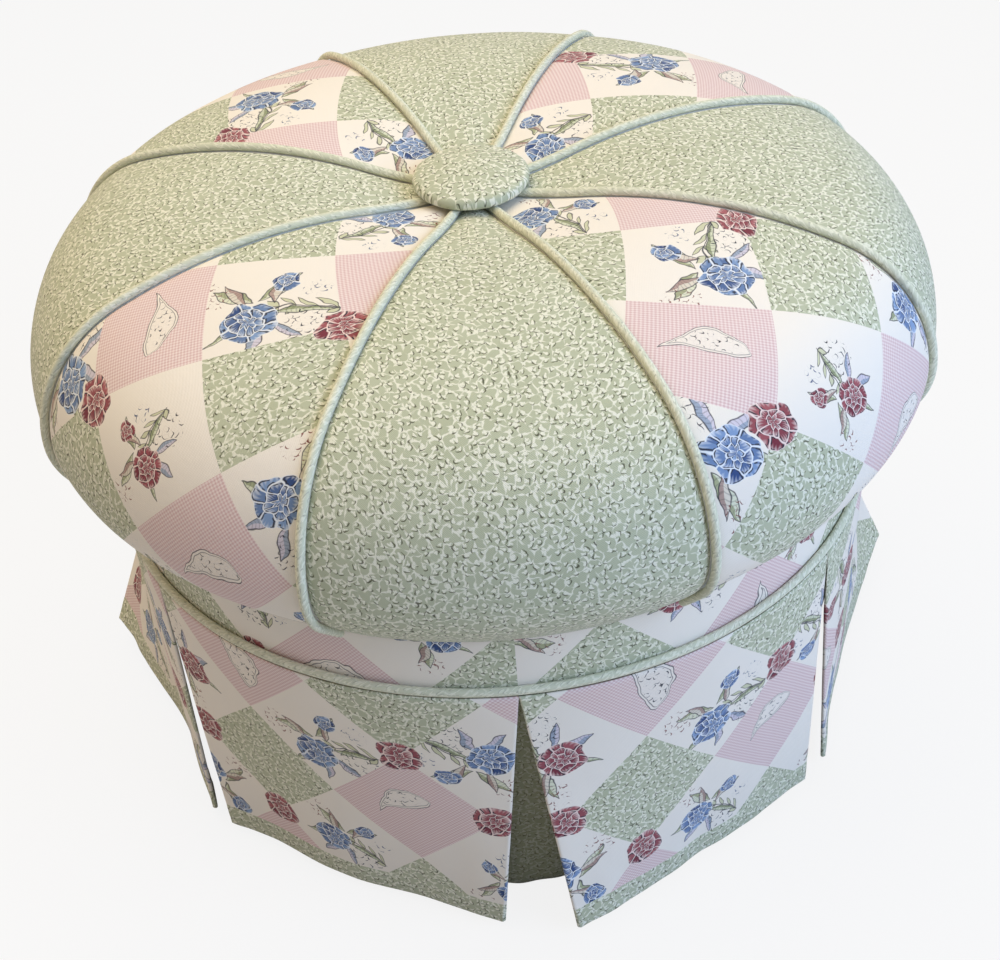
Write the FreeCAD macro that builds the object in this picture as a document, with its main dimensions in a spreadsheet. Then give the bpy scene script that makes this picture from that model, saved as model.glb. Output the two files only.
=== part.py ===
"""Round tuffet: an eight-gore buttoned cushion on a covered drum, with a kick-pleated skirt to the floor.

Millimetres. +Z is up and the origin is on the floor under the centre of the seat. An azimuth is measured
from the front, which is -Y, towards +X, which is the sitter's right when facing the stool.
"""
import FreeCAD, Part
import math
import os
import Sketcher

Vector = FreeCAD.Vector
Rotation = FreeCAD.Rotation
Placement = FreeCAD.Placement

# Driving dimensions: name, value, what it is
SIZES = (
    ("FitGap", 0.3, "space left between neighbouring pieces"),
    ("GoreCount", 8, "gores of the cushion cover, and seams between them"),
    ("PleatCount", 6, "kick pleats, and skirt panels between them"),
    ("LegCount", 4, "legs, and posts of the drum frame"),
    ("GlideRadius", 11, "nylon glide under a leg"),
    ("GlideHeight", 5, "glide under the leg end"),
    ("LegLength", 194, "turned leg"),
    ("LegTopRadius", 24, "leg at the frame"),
    ("LegFootRadius", 15, "leg at the glide"),
    ("LegInset", 35, "centre line of the legs inside the edge of the frame"),
    ("BoltRadius", 4, "hanger bolt shank"),
    ("BoltClearance", 0.2, "bore over shank radius"),
    ("BoltDepth", 32, "bolt inside the leg"),
    ("BoltReach", 24, "bolt above the leg"),
    ("NutBarrelRadius", 5.5, "tee nut barrel"),
    ("NutBarrelLength", 12, "tee nut barrel below its flange"),
    ("NutFlangeRadius", 10, "tee nut flange"),
    ("NutFlangeThickness", 1.5, "tee nut flange"),
    ("FrameRadius", 250, "outside of the two plywood rings"),
    ("RingWidth", 70, "plywood ring from outside to inside"),
    ("BoardThickness", 18, "plywood of rings and top board"),
    ("PostSide", 40, "square hardwood post"),
    ("PostHeight", 42.5, "post between the rings"),
    ("PostInset", 35, "centre line of the posts inside the edge of the frame"),
    ("ScrewRadius", 2.2, "wood screw shank"),
    ("ScrewHeadRadius", 4.5, "wood screw head"),
    ("ScrewHeadHeight", 2.6, "wood screw head"),
    ("ScrewLength", 30, "wood screw under its head"),
    ("TopScrewInset", 45, "centre line of the top board screws inside the edge of the frame"),
    ("WallThickness", 4, "bent plywood drum wall"),
    ("PaddingThickness", 6, "felt round the drum"),
    ("BandThickness", 1.2, "boxing band cloth"),
    ("DustCoverThickness", 0.8, "black cambric under the frame"),
    ("DustCoverInset", 3, "edge of the cambric inside the frame edge"),
    ("CushionOverhang", 42.9, "widest part of the cushion outside the boxing band"),
    ("CushionDrop", 65.5, "widest part above the top of the drum"),
    ("ShoulderRadius", 89.5, "arc from the widest part up to the crown"),
    ("CrownArcRadius", 337, "flat arc of the crown"),
    ("CrownPeakRadius", 137, "highest ring of the crown"),
    ("DimpleReach", 75, "ring where the pull of the button starts"),
    ("TuckAngle", 42, "degrees turned under the cushion before the straight pull to the board"),
    ("CoverThickness", 1.5, "lined cotton cover"),
    ("CoverTail", 40, "cover stapled under the top board"),
    ("BattingThickness", 8, "polyester batting under the cover"),
    ("CentreHole", 8, "hole for the twine through cover, foam and board"),
    ("PipingRadius", 3, "covered cord"),
    ("PipingStart", 14, "ring where the seam cords end under the button"),
    ("PipingEndGap", 0.5, "seam cord end above the underside of the cover"),
    ("ChannelClearance", 0.2, "seam channel over cord radius"),
    ("ButtonRadius", 38.6, "covered button"),
    ("ButtonHeight", 12.5, "covered button from rim to top"),
    ("ButtonEdge", 3.5, "upright edge of the button under its dome"),
    ("ButtonLip", 8, "cloth turned in under the button"),
    ("ButtonCloth", 1.2, "gathered cloth of the button"),
    ("MouldThickness", 1, "steel mould under the cloth"),
    ("BackThickness", 1.2, "steel back plate of the button"),
    ("LoopRadius", 6, "wire loop of the button, centre line"),
    ("LoopWire", 1, "wire radius of the loop"),
    ("TwineRadius", 1.25, "waxed tufting twine"),
    ("ToggleRadius", 4, "beech toggle that holds the twine"),
    ("ToggleLength", 50, "toggle"),
    ("WeltHeight", 235.5, "centre of the welt above the floor"),
    ("TackThickness", 1, "card tack strip"),
    ("TackHeight", 6, "card tack strip"),
    ("InsertThickness", 1.2, "cloth backing of a pleat"),
    ("PanelThickness", 1.8, "lined skirt panel"),
    ("HemHeight", 8, "hem above the floor"),
    ("HemCornerFlare", 2.9, "corners of a panel at the hem outside the boxing band"),
    ("HemMiddlePull", 17.1, "middle of a panel at the hem inside the boxing band"),
    ("SideSwing", 19, "degrees that a side panel swings out at the hem about its front corner"),
    ("PleatTopAngle", 0.6, "degrees between panels at the welt"),
    ("PleatHemAngle", 10.2, "degrees between panels at the hem"),
    ("InsertHemPull", 30.6, "pleat backing at the hem inside the boxing band"),
    ("InsertTopAngle", 14, "degrees of backing at the welt"),
    ("InsertHemAngle", 23, "degrees of backing at the hem"),
)

# Heights and radii that follow from the sizes, lowest and innermost first
RING_FOOT = "Sizes.GlideHeight + Sizes.LegLength"
POST_FOOT = RING_FOOT + " + Sizes.BoardThickness"
UPPER_RING = POST_FOOT + " + Sizes.PostHeight"
DRUM_TOP = UPPER_RING + " + Sizes.BoardThickness"
COVER_FOOT = DRUM_TOP + " + Sizes.FitGap"
TOP_BOARD = COVER_FOOT + " + Sizes.CoverThickness + Sizes.FitGap"
FOAM_FOOT = TOP_BOARD + " + Sizes.BoardThickness + Sizes.FitGap"
EQUATOR = DRUM_TOP + " + Sizes.CushionDrop"
SKIRT_TOP = "Sizes.WeltHeight - Sizes.PipingRadius - Sizes.FitGap"
LEG_CIRCLE = "Sizes.FrameRadius - Sizes.LegInset"
POST_CIRCLE = "Sizes.FrameRadius - Sizes.PostInset"
TOP_SCREW_CIRCLE = "Sizes.FrameRadius - Sizes.TopScrewInset"
WALL_INNER = "Sizes.FrameRadius + Sizes.FitGap"
WALL_OUTER = WALL_INNER + " + Sizes.WallThickness"
PADDING_INNER = WALL_OUTER + " + Sizes.FitGap"
PADDING_OUTER = PADDING_INNER + " + Sizes.PaddingThickness"
BAND_INNER = PADDING_OUTER + " + Sizes.FitGap"
BAND_OUTER = BAND_INNER + " + Sizes.BandThickness"
TOP_BOARD_RADIUS = BAND_OUTER + " - Sizes.FitGap"
CUSHION_RADIUS = BAND_OUTER + " + Sizes.CushionOverhang"
TACK_INNER = BAND_OUTER + " + Sizes.FitGap"
TACK_OUTER = TACK_INNER + " + Sizes.TackThickness"
INSERT_LEAN = f"Sizes.InsertHemPull / (({SKIRT_TOP}) - Sizes.HemHeight)"
TACK_RISE = f"Sizes.TackHeight * {INSERT_LEAN}"
INSERT_INNER = f"{TACK_OUTER} + {TACK_RISE} + Sizes.FitGap"
INSERT_OUTER = INSERT_INNER + " + Sizes.InsertThickness"
PANEL_INNER = INSERT_OUTER + " + Sizes.FitGap"
PANEL_OUTER = PANEL_INNER + " + Sizes.PanelThickness"
PIPING_LIFT = "Sizes.PipingRadius - Sizes.CoverThickness"
BATTING_DEPTH = "Sizes.CoverThickness + Sizes.FitGap"
FOAM_DEPTH = BATTING_DEPTH + " + Sizes.BattingThickness + Sizes.FitGap"
SCREW_BORE = "Sizes.ScrewRadius + Sizes.BoltClearance"
HEAD_BORE = "Sizes.ScrewHeadRadius + Sizes.BoltClearance"
HEAD_DEPTH = "Sizes.ScrewHeadHeight + Sizes.BoltClearance"
LEG_BORE = "Sizes.BoltRadius + Sizes.BoltClearance"
TWINE_BEND = "Sizes.ToggleRadius + Sizes.TwineRadius + Sizes.BoltClearance"
CHANNEL_RADIUS = "Sizes.PipingRadius + Sizes.ChannelClearance"
BAND_FOOT = SKIRT_TOP + " - Sizes.TackHeight"
POST_BITE = f"Sizes.ScrewLength - Sizes.BoardThickness + {HEAD_DEPTH} + Sizes.FitGap"
TOP_BITE = f"Sizes.ScrewLength - ({TOP_BOARD}) + ({UPPER_RING}) + {HEAD_DEPTH} + Sizes.FitGap"

doc = FreeCAD.newDocument("Tuffet")
sheet = doc.addObject("Spreadsheet::Sheet", "Sizes")
for row, (name, number, note) in enumerate(SIZES, 1):
    sheet.set(f"A{row}", name)
    sheet.set(f"B{row}", str(number))
    sheet.set(f"C{row}", note)
    sheet.setAlias(f"B{row}", name)
doc.recompute()

nodes = []


def size(expression):
    """Number that an expression of sheet sizes gives now."""
    return float(sheet.evalExpression(expression))


def turn(azimuth, height=0.0, radius=0.0):
    """Placement of a piece modelled along +X, turned to its azimuth and moved out along it."""
    spin = Rotation(Vector(0, 0, 1), azimuth - 90)
    return Placement(spin.multVec(Vector(radius, 0, 0)) + Vector(0, 0, height), spin)


def azimuths(count, first=0.0):
    """Evenly spaced azimuths round the stool."""
    return [first + 360 * index / count for index in range(round(count))]


def keep(piece, label):
    """Name a finished sub-part and list it for export."""
    piece.Label = label
    nodes.append(piece)
    return piece


# Helpers for bodies with sketches

def new_body(label):
    """Empty body whose label names its file."""
    return keep(doc.addObject("PartDesign::Body", "Body_" + label), label)


def datum(body, role):
    """Origin plane or axis of a body."""
    return next(item for item in body.Origin.OriginFeatures if item.Role == role)


def new_sketch(body, name, role, height="0", swing=0.0):
    """Sketch on an origin plane, lifted by an expression and swung about its own vertical axis."""
    sketch = body.newObject("Sketcher::SketchObject", f"{name}_{body.Label}")
    sketch.AttachmentSupport = (datum(body, role), "")
    sketch.MapMode = "FlatFace"
    sketch.AttachmentOffset = Placement(Vector(0, 0, 0), Rotation(Vector(0, 1, 0), swing))
    sketch.setExpression("AttachmentOffset.Base.z", height)
    return sketch


def bind(sketch, constraint, expression):
    """Add a dimension to a sketch and tie it to the sheet."""
    index = sketch.addConstraint(constraint)
    sketch.setExpression(f"Constraints[{index}]", expression)


def add_circle(sketch, radius, out="0"):
    """Circle of a bound radius whose centre is out along the sketch's horizontal axis."""
    centre = Vector(size(out), 0, 0)
    index = sketch.addGeometry(Part.Circle(centre, Vector(0, 0, 1), size(radius)), False)
    bind(sketch, Sketcher.Constraint("Radius", index, size(radius)), radius)
    if size(out) == 0:
        sketch.addConstraint(Sketcher.Constraint("Coincident", index, 3, -1, 1))
        return
    sketch.addConstraint(Sketcher.Constraint("PointOnObject", index, 3, -1))
    bind(sketch, Sketcher.Constraint("DistanceX", -1, 1, index, 3, size(out)), out)


def add_outline(sketch, edges, closed=True):
    """Lines and arcs in order, joined end to end."""
    first = sketch.addGeometry(edges, False)[0]
    ends = [joined_ends(edges, index) for index in range(len(edges))]
    last = len(edges) if closed else len(edges) - 1
    for index in range(last):
        other = (index + 1) % len(edges)
        here, there = ends[index][1], ends[other][0]
        sketch.addConstraint(Sketcher.Constraint("Coincident", first + index, here, first + other, there))


def joined_ends(edges, index):
    """Which vertex of an edge starts it and which ends it, as the outline runs."""
    return (1, 2) if runs_on(edges[index], edges[(index + 1) % len(edges)]) else (2, 1)


def runs_on(edge, ahead):
    """True where the stored end of an edge, and not its start, meets the next edge."""
    def reach(spot):
        return min(spot.distanceToPoint(ahead.StartPoint), spot.distanceToPoint(ahead.EndPoint))
    return reach(edge.EndPoint) <= reach(edge.StartPoint)


def pad(body, sketch, length):
    """Straight extrusion upwards."""
    feature = body.newObject("PartDesign::Pad", "Pad_" + sketch.Name)
    feature.Profile = sketch
    feature.setExpression("Length", length)
    return feature


def pocket(body, sketch, depth=None, upwards=False):
    """Cut from a sketch, downwards unless told, through all unless given a depth."""
    feature = body.newObject("PartDesign::Pocket", "Pocket_" + sketch.Name)
    feature.Profile = sketch
    feature.Reversed = upwards
    if depth is None:
        feature.Type = "ThroughAll"
    else:
        feature.setExpression("Length", depth)
    return feature


def pattern(body, features, count):
    """Repeat features round the body's own Z axis."""
    feature = body.newObject("PartDesign::PolarPattern", "Pattern_" + features[0].Name)
    feature.Originals = features
    feature.Axis = (datum(body, "Z_Axis"), [""])
    feature.Angle = 360
    feature.setExpression("Occurrences", count)
    body.Tip = feature
    return feature


def revolve(body, sketch, angle=360.0):
    """Turn an upright half section about the body's Z axis, evenly to both sides of the sketch."""
    feature = body.newObject("PartDesign::Revolution", "Revolution_" + sketch.Name)
    feature.Profile = sketch
    feature.ReferenceAxis = (sketch, ["V_Axis"])
    feature.Midplane = True
    feature.Angle = angle
    return feature


def turned(label, edges, angle=360.0):
    """Body made by revolving one closed half section."""
    body = new_body(label)
    sketch = new_sketch(body, "Section", "XZ_Plane")
    add_outline(sketch, edges)
    revolve(body, sketch, angle)
    return body


# Outlines

def point(across, up):
    """Point of a sketch."""
    return Vector(across, up, 0)


def polygon(corners):
    """Closed run of straight lines."""
    return [Part.LineSegment(start, end) for start, end in zip(corners, corners[1:] + corners[:1])]


def arc(centre, radius, start, end):
    """Arc between two directions given in degrees."""
    spots = []
    for direction in (start, (start + end) / 2, end):
        angle = math.radians(direction)
        spots.append(centre + Vector(radius * math.cos(angle), radius * math.sin(angle), 0))
    return arc_through(*spots)


def arc_through(start, middle, end):
    """Arc through three points, stored counter-clockwise, as a sketch numbers its ends."""
    leftwards = (middle - start).cross(end - middle).z > 0
    return Part.Arc(start, middle, end) if leftwards else Part.Arc(end, middle, start)


def dome_centres():
    """Centres and radii of the cushion's tangent arcs, and the directions where they meet."""
    equator = size(EQUATOR)
    shoulder = point(size(f"{CUSHION_RADIUS} - Sizes.ShoulderRadius"), equator)
    peak = size("Sizes.CrownPeakRadius")
    flat = size("Sizes.CrownArcRadius")
    reach = size("Sizes.CrownArcRadius - Sizes.ShoulderRadius")
    crown = point(peak, equator - math.sqrt(reach ** 2 - (shoulder.x - peak) ** 2))
    slope = math.asin((peak - size("Sizes.DimpleReach")) / flat)
    hollow = size("Sizes.DimpleReach") / math.sin(slope)
    dimple = crown + Vector(-math.sin(slope), math.cos(slope), 0) * (flat + hollow)
    meet = math.degrees(math.atan2(shoulder.y - crown.y, shoulder.x - crown.x))
    return shoulder, crown, dimple, hollow, math.degrees(slope), meet


def dome_run(offset, start, foot=None):
    """Cushion outline moved outwards by offset, from a start radius to the equator, or on down to a foot."""
    shoulder, crown, dimple, hollow, slope, meet = dome_centres()
    inner = math.degrees(math.asin(start / (hollow - offset)))
    run = [
        arc(dimple, hollow - offset, inner - 90, slope - 90),
        arc(crown, size("Sizes.CrownArcRadius") + offset, slope + 90, meet),
        arc(shoulder, size("Sizes.ShoulderRadius") + offset, meet, 0),
    ]
    return run if foot is None else run + tuck_run(offset, foot)


def equator_point(offset):
    """Widest point of the cushion outline moved outwards by offset."""
    return point(size(CUSHION_RADIUS) + offset, size(EQUATOR))


def tuck_radius():
    """Radius of the arc under the widest part that leads the straight pull to the edge of the board."""
    angle = math.radians(size("Sizes.TuckAngle"))
    cloth = size("Sizes.CoverThickness + Sizes.FitGap") / math.cos(angle)
    inward = size(CUSHION_RADIUS) - size(TOP_BOARD_RADIUS) - cloth
    drop = size(f"{EQUATOR} - ({COVER_FOOT})")
    spare = math.sin(angle) * math.tan(angle) + math.cos(angle) - 1
    return (drop * math.tan(angle) - inward) / spare


def tuck_run(offset, foot):
    """Cushion outline moved outwards by offset, from the equator down to a foot height."""
    radius = tuck_radius()
    angle = size("Sizes.TuckAngle")
    bend = arc(equator_point(-radius), radius + offset, 0, -angle)
    knee = min((bend.StartPoint, bend.EndPoint), key=lambda spot: spot.y)
    end = point(knee.x - (knee.y - foot) * math.tan(math.radians(angle)), foot)
    return [bend, Part.LineSegment(knee, end)]


def run_start(run):
    """First point of an open run, whichever way its arcs are stored."""
    return run[0].StartPoint if runs_on(run[0], run[1]) else run[0].EndPoint


def dimple_height(radius):
    """Height of the cover near the button, at a radius inside the dimple."""
    dimple, hollow = dome_centres()[2:4]
    return dimple.y - math.sqrt(hollow ** 2 - radius ** 2)


def closed(run, corners):
    """Carry an open run on from its last point with straight lines through further corners."""
    spots = [run[-1].EndPoint] + corners
    return run + [Part.LineSegment(start, end) for start, end in zip(spots, spots[1:])]


# Frame

def frame_ring(label, height):
    """Plywood ring with its bottom at a height."""
    body = new_body(label)
    body.setExpression("Placement.Base.z", height)
    sketch = new_sketch(body, "Ring", "XY_Plane")
    add_circle(sketch, "Sizes.FrameRadius")
    add_circle(sketch, "Sizes.FrameRadius - Sizes.RingWidth")
    pad(body, sketch, "Sizes.BoardThickness")
    return body


def between_posts():
    """Sketch offset that turns the first leg's place onto the sketch's horizontal axis."""
    return Placement(Vector(0, 0, 0), Rotation(Vector(0, 0, 1), 180 / size("Sizes.LegCount")))


def screw_holes(body, name, circle, from_top, offset):
    """Counterbored screw holes through a ring, entered from its top or its bottom."""
    face = "Sizes.BoardThickness" if from_top else "0"
    features = []
    for kind, radius, depth in (("Shank", SCREW_BORE, None), ("Head", HEAD_BORE, HEAD_DEPTH)):
        sketch = new_sketch(body, kind + name, "XY_Plane", face)
        sketch.AttachmentOffset = offset
        add_circle(sketch, radius, circle)
        features.append(pocket(body, sketch, depth, upwards=not from_top))
    pattern(body, features, "Sizes.LegCount")


def build_rings():
    """Base ring that takes the legs, and upper ring that takes the cushion board."""
    base = frame_ring("base_ring", RING_FOOT)
    screw_holes(base, "Post", POST_CIRCLE, False, Placement())
    sketch = new_sketch(base, "Nut", "XY_Plane", "Sizes.BoardThickness")
    sketch.AttachmentOffset = between_posts()
    add_circle(sketch, "Sizes.NutBarrelRadius + Sizes.BoltClearance", LEG_CIRCLE)
    pattern(base, [pocket(base, sketch)], "Sizes.LegCount")
    upper = frame_ring("upper_ring", UPPER_RING)
    screw_holes(upper, "Post", POST_CIRCLE, True, Placement())
    screw_holes(upper, "Board", TOP_SCREW_CIRCLE, False, between_posts())


def build_posts():
    """Hardwood posts between the rings, with pilot bores for the screws at both ends."""
    for number, azimuth in enumerate(azimuths(size("Sizes.LegCount"), 90), 1):
        block = doc.addObject("Part::Box", f"PostBlock{number}")
        block.setExpression("Length", "Sizes.PostSide")
        block.setExpression("Width", "Sizes.PostSide")
        block.setExpression("Height", "Sizes.PostHeight")
        block.setExpression("Placement.Base.x", "-Sizes.PostSide / 2")
        block.setExpression("Placement.Base.y", "-Sizes.PostSide / 2")
        bores = []
        for end, foot in (("Lower", "0"), ("Upper", f"Sizes.PostHeight - ({POST_BITE})")):
            bore = doc.addObject("Part::Cylinder", f"Post{end}Bore{number}")
            bore.setExpression("Radius", SCREW_BORE)
            bore.setExpression("Height", POST_BITE)
            bore.setExpression("Placement.Base.z", foot)
            bores.append(bore)
        drill = doc.addObject("Part::MultiFuse", f"PostBores{number}")
        drill.Shapes = bores
        post = doc.addObject("Part::Cut", f"Post{number}")
        post.Base = block
        post.Tool = drill
        post.Placement = turn(azimuth, size(POST_FOOT), size(POST_CIRCLE))
        keep(post, f"frame_post_{number}")


def build_board():
    """Plywood board that carries the cushion, bored for the twine and for the screws from the upper ring."""
    body = new_body("top_board")
    body.setExpression("Placement.Base.z", TOP_BOARD)
    sketch = new_sketch(body, "Board", "XY_Plane")
    add_circle(sketch, TOP_BOARD_RADIUS)
    add_circle(sketch, "Sizes.CentreHole")
    pad(body, sketch, "Sizes.BoardThickness")
    sketch = new_sketch(body, "Pilot", "XY_Plane")
    sketch.AttachmentOffset = between_posts()
    add_circle(sketch, SCREW_BORE, TOP_SCREW_CIRCLE)
    pattern(body, [pocket(body, sketch, TOP_BITE, upwards=True)], "Sizes.LegCount")


def build_legs():
    """Turned tapering legs, bored for their hanger bolts, on nylon glides."""
    bore, top, foot = (size(name) for name in (LEG_BORE, "Sizes.LegTopRadius", "Sizes.LegFootRadius"))
    length = size("Sizes.LegLength")
    floor = length - size("Sizes.BoltDepth")
    outside = [point(0, 0), point(foot, 0), point(top, length)]
    section = polygon(outside + [point(bore, length), point(bore, floor), point(0, floor)])
    for number, azimuth in enumerate(leg_azimuths(), 1):
        leg = turned(f"leg_{number}", section)
        leg.Placement = turn(azimuth, size("Sizes.GlideHeight"), size(LEG_CIRCLE))
        glide = doc.addObject("Part::Cylinder", f"Glide{number}")
        glide.setExpression("Radius", "Sizes.GlideRadius")
        glide.setExpression("Height", "Sizes.GlideHeight")
        glide.Placement = turn(azimuth, 0, size(LEG_CIRCLE))
        keep(glide, f"leg_glide_{number}")


def leg_azimuths():
    """Azimuths of the legs, halfway between the posts."""
    count = size("Sizes.LegCount")
    return azimuths(count, 90 + 180 / count)


# Fasteners, each group one node of separate solids

def group(label, solids):
    """Node of identical fasteners."""
    piece = doc.addObject("Part::Feature", label)
    piece.Shape = Part.makeCompound(solids)
    keep(piece, label)


def placed(shape, placement):
    """Copy of a shape at a placement."""
    copy = shape.copy()
    copy.Placement = placement
    return copy


def spun(corners):
    """Solid turned from corners given as radius and height."""
    face = Part.Face(Part.makePolygon([Vector(across, 0, up) for across, up in corners + corners[:1]]))
    return face.revolve(Vector(0, 0, 0), Vector(0, 0, 1), 360)


def build_bolts():
    """Hanger bolts in the legs and tee nuts let into the top of the base ring."""
    leg_top = size(RING_FOOT)
    depth = size("Sizes.BoltDepth")
    bolt = Part.makeCylinder(size("Sizes.BoltRadius"), depth + size("Sizes.BoltReach"))
    spots = [(azimuth, size(LEG_CIRCLE)) for azimuth in leg_azimuths()]
    bolts = [placed(bolt, turn(azimuth, leg_top - depth, radius)) for azimuth, radius in spots]
    group("hanger_bolts", bolts)
    bore, barrel, flange = size(LEG_BORE), size("Sizes.NutBarrelRadius"), size("Sizes.NutFlangeRadius")
    length, thick = size("Sizes.NutBarrelLength"), size("Sizes.NutFlangeThickness")
    stem = [(bore, -length), (barrel, -length), (barrel, 0)]
    nut = spun(stem + [(flange, 0), (flange, thick), (bore, thick)])
    nuts = [placed(nut, turn(azimuth, size(POST_FOOT), radius)) for azimuth, radius in spots]
    group("tee_nuts", nuts)


def build_screws():
    """Wood screws that hold the posts to both rings and the top board to the upper ring."""
    post_circle = size(POST_CIRCLE)
    down = Rotation(Vector(1, 0, 0), 180)
    solids = []
    for azimuth in azimuths(size("Sizes.LegCount"), 90):
        solids.append(placed(screw(), turn(azimuth, size(f"{RING_FOOT} + {HEAD_DEPTH}"), post_circle)))
        spot = turn(azimuth, size(f"{DRUM_TOP} - ({HEAD_DEPTH})"), post_circle)
        solids.append(placed(screw(), Placement(spot.Base, down)))
    for azimuth in leg_azimuths():
        spot = turn(azimuth, size(f"{UPPER_RING} + {HEAD_DEPTH}"), size(TOP_SCREW_CIRCLE))
        solids.append(placed(screw(), spot))
    group("frame_screws", solids)


def screw():
    """Pan head screw pointing up, with the underside of its head at zero."""
    sizes = ("ScrewRadius", "ScrewHeadRadius", "ScrewHeadHeight", "ScrewLength")
    shank, head, height, length = (size("Sizes." + name) for name in sizes)
    return spun([(0, -height), (head, -height), (head, 0), (shank, 0), (shank, length - shank), (0, length)])


# Drum coverings

def build_drum():
    """Bent wall round the frame, its felt, the boxing band, and the cambric under the frame."""
    for label, inner, outer, foot in (
        ("drum_wall", WALL_INNER, WALL_OUTER, RING_FOOT),
        ("drum_padding", PADDING_INNER, PADDING_OUTER, BAND_FOOT),
        ("boxing_band", BAND_INNER, BAND_OUTER, BAND_FOOT),
        ("tack_strip", TACK_INNER, TACK_OUTER, f"{SKIRT_TOP} - Sizes.TackHeight"),
    ):
        body = new_body(label)
        body.setExpression("Placement.Base.z", foot)
        sketch = new_sketch(body, "Ring", "XY_Plane")
        add_circle(sketch, outer)
        add_circle(sketch, inner)
        pad(body, sketch, "Sizes.TackHeight" if label == "tack_strip" else f"{DRUM_TOP} - ({foot})")
    body = new_body("dust_cover")
    body.setExpression("Placement.Base.z", f"{RING_FOOT} - Sizes.DustCoverThickness")
    sketch = new_sketch(body, "Disc", "XY_Plane")
    add_circle(sketch, "Sizes.FrameRadius - Sizes.DustCoverInset")
    pad(body, sketch, "Sizes.DustCoverThickness")
    sketch = new_sketch(body, "Leg", "XY_Plane")
    sketch.AttachmentOffset = between_posts()
    add_circle(sketch, "Sizes.LegTopRadius + Sizes.FitGap", LEG_CIRCLE)
    pattern(body, [pocket(body, sketch, upwards=True)], "Sizes.LegCount")
    welt = doc.addObject("Part::Torus", "Welt")
    welt.setExpression("Radius1", f"{BAND_OUTER} + Sizes.FitGap + Sizes.PipingRadius")
    welt.setExpression("Radius2", "Sizes.PipingRadius")
    welt.setExpression("Placement.Base.z", "Sizes.WeltHeight")
    keep(welt, "skirt_welt")


# Cushion

def build_filling():
    """Firm foam base, soft foam crown and the batting over both."""
    hole = size("Sizes.CentreHole")
    equator, foam_foot = size(EQUATOR), size(FOAM_FOOT)
    inset = size(FOAM_DEPTH)
    tuck = tuck_run(-inset, foam_foot)
    turned("foam_base", closed(tuck, [point(hole, foam_foot), point(hole, equator), equator_point(-inset)]))
    crown = dome_run(-inset, hole)
    floor = [equator_point(-inset), point(hole, equator), run_start(crown)]
    crown += [Part.LineSegment(start, end) for start, end in zip(floor, floor[1:])]
    turned("foam_crown", crown)
    board_foot = size(TOP_BOARD)
    board_side = size(f"{TOP_BOARD_RADIUS} + Sizes.FitGap")
    outer = dome_run(-size(BATTING_DEPTH), hole, board_foot)
    inner = dome_run(-size(BATTING_DEPTH) - size("Sizes.BattingThickness"), hole, foam_foot)
    step = [point(board_side, board_foot), point(board_side, foam_foot)]
    batting = closed(outer, step + [inner[-1].EndPoint])
    batting += inner[::-1] + [Part.LineSegment(run_start(inner), run_start(outer))]
    turned("batting", batting)


def build_gores():
    """Cover gores, each grooved along both sides to hug the seam cords and turned in under the board."""
    hole = size("Sizes.CentreHole")
    foot, cloth = size(COVER_FOOT), size("Sizes.CoverThickness")
    outer = dome_run(0, hole, foot)
    inner = dome_run(-cloth, hole, foot + cloth)
    tail = outer[-1].EndPoint.x - size("Sizes.CoverTail")
    section = closed(outer, [point(tail, foot), point(tail, foot + cloth), inner[-1].EndPoint])
    section += inner[::-1] + [Part.LineSegment(run_start(inner), run_start(outer))]
    spread = 360 / size("Sizes.GoreCount")
    for number, azimuth in enumerate(azimuths(size("Sizes.GoreCount")), 1):
        body = turned(f"cover_gore_{number}", section, spread)
        for name, swing in (("LeftChannel", -spread / 2), ("RightChannel", spread / 2)):
            body.Tip = pipe(body, name, CHANNEL_RADIUS, swing, "Subtractive")
        body.Placement = turn(azimuth)


def pipe(body, name, radius, swing, kind):
    """Round cord, or a channel for one, along the seam line on an upright plane swung from the front."""
    path = new_sketch(body, name + "Path", "XZ_Plane", swing=swing)
    add_outline(path, seam_line(), closed=False)
    circle = body.newObject("Sketcher::SketchObject", f"{name}Circle_{body.Label}")
    circle.AttachmentSupport = (path, "Edge1")
    circle.MapMode = "NormalToEdge"
    circle.MapPathParameter = 0
    circle.addGeometry(Part.Circle(Vector(0, 0, 0), Vector(0, 0, 1), size(radius)), False)
    circle.addConstraint(Sketcher.Constraint("Coincident", 0, 3, -1, 1))
    bind(circle, Sketcher.Constraint("Radius", 0, size(radius)), radius)
    feature = body.newObject(f"PartDesign::{kind}Pipe", f"{name}Pipe_{body.Label}")
    feature.Profile = circle
    feature.Spine = (path, [f"Edge{number}" for number in range(1, path.GeometryCount + 1)])
    return feature


def seam_line():
    """Centre line of a seam cord from under the button to the underside of the cushion."""
    foot = size(f"{COVER_FOOT} + Sizes.PipingRadius + Sizes.PipingEndGap")
    return dome_run(size(PIPING_LIFT), size("Sizes.PipingStart"), foot)


def build_piping():
    """Covered cords along the seams of the cushion."""
    count = size("Sizes.GoreCount")
    for number, azimuth in enumerate(azimuths(count, 180 / count), 1):
        body = new_body(f"seam_piping_{number}")
        pipe(body, "Cord", "Sizes.PipingRadius", 0, "Additive")
        body.Placement = turn(azimuth)


# Button and twine

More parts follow.
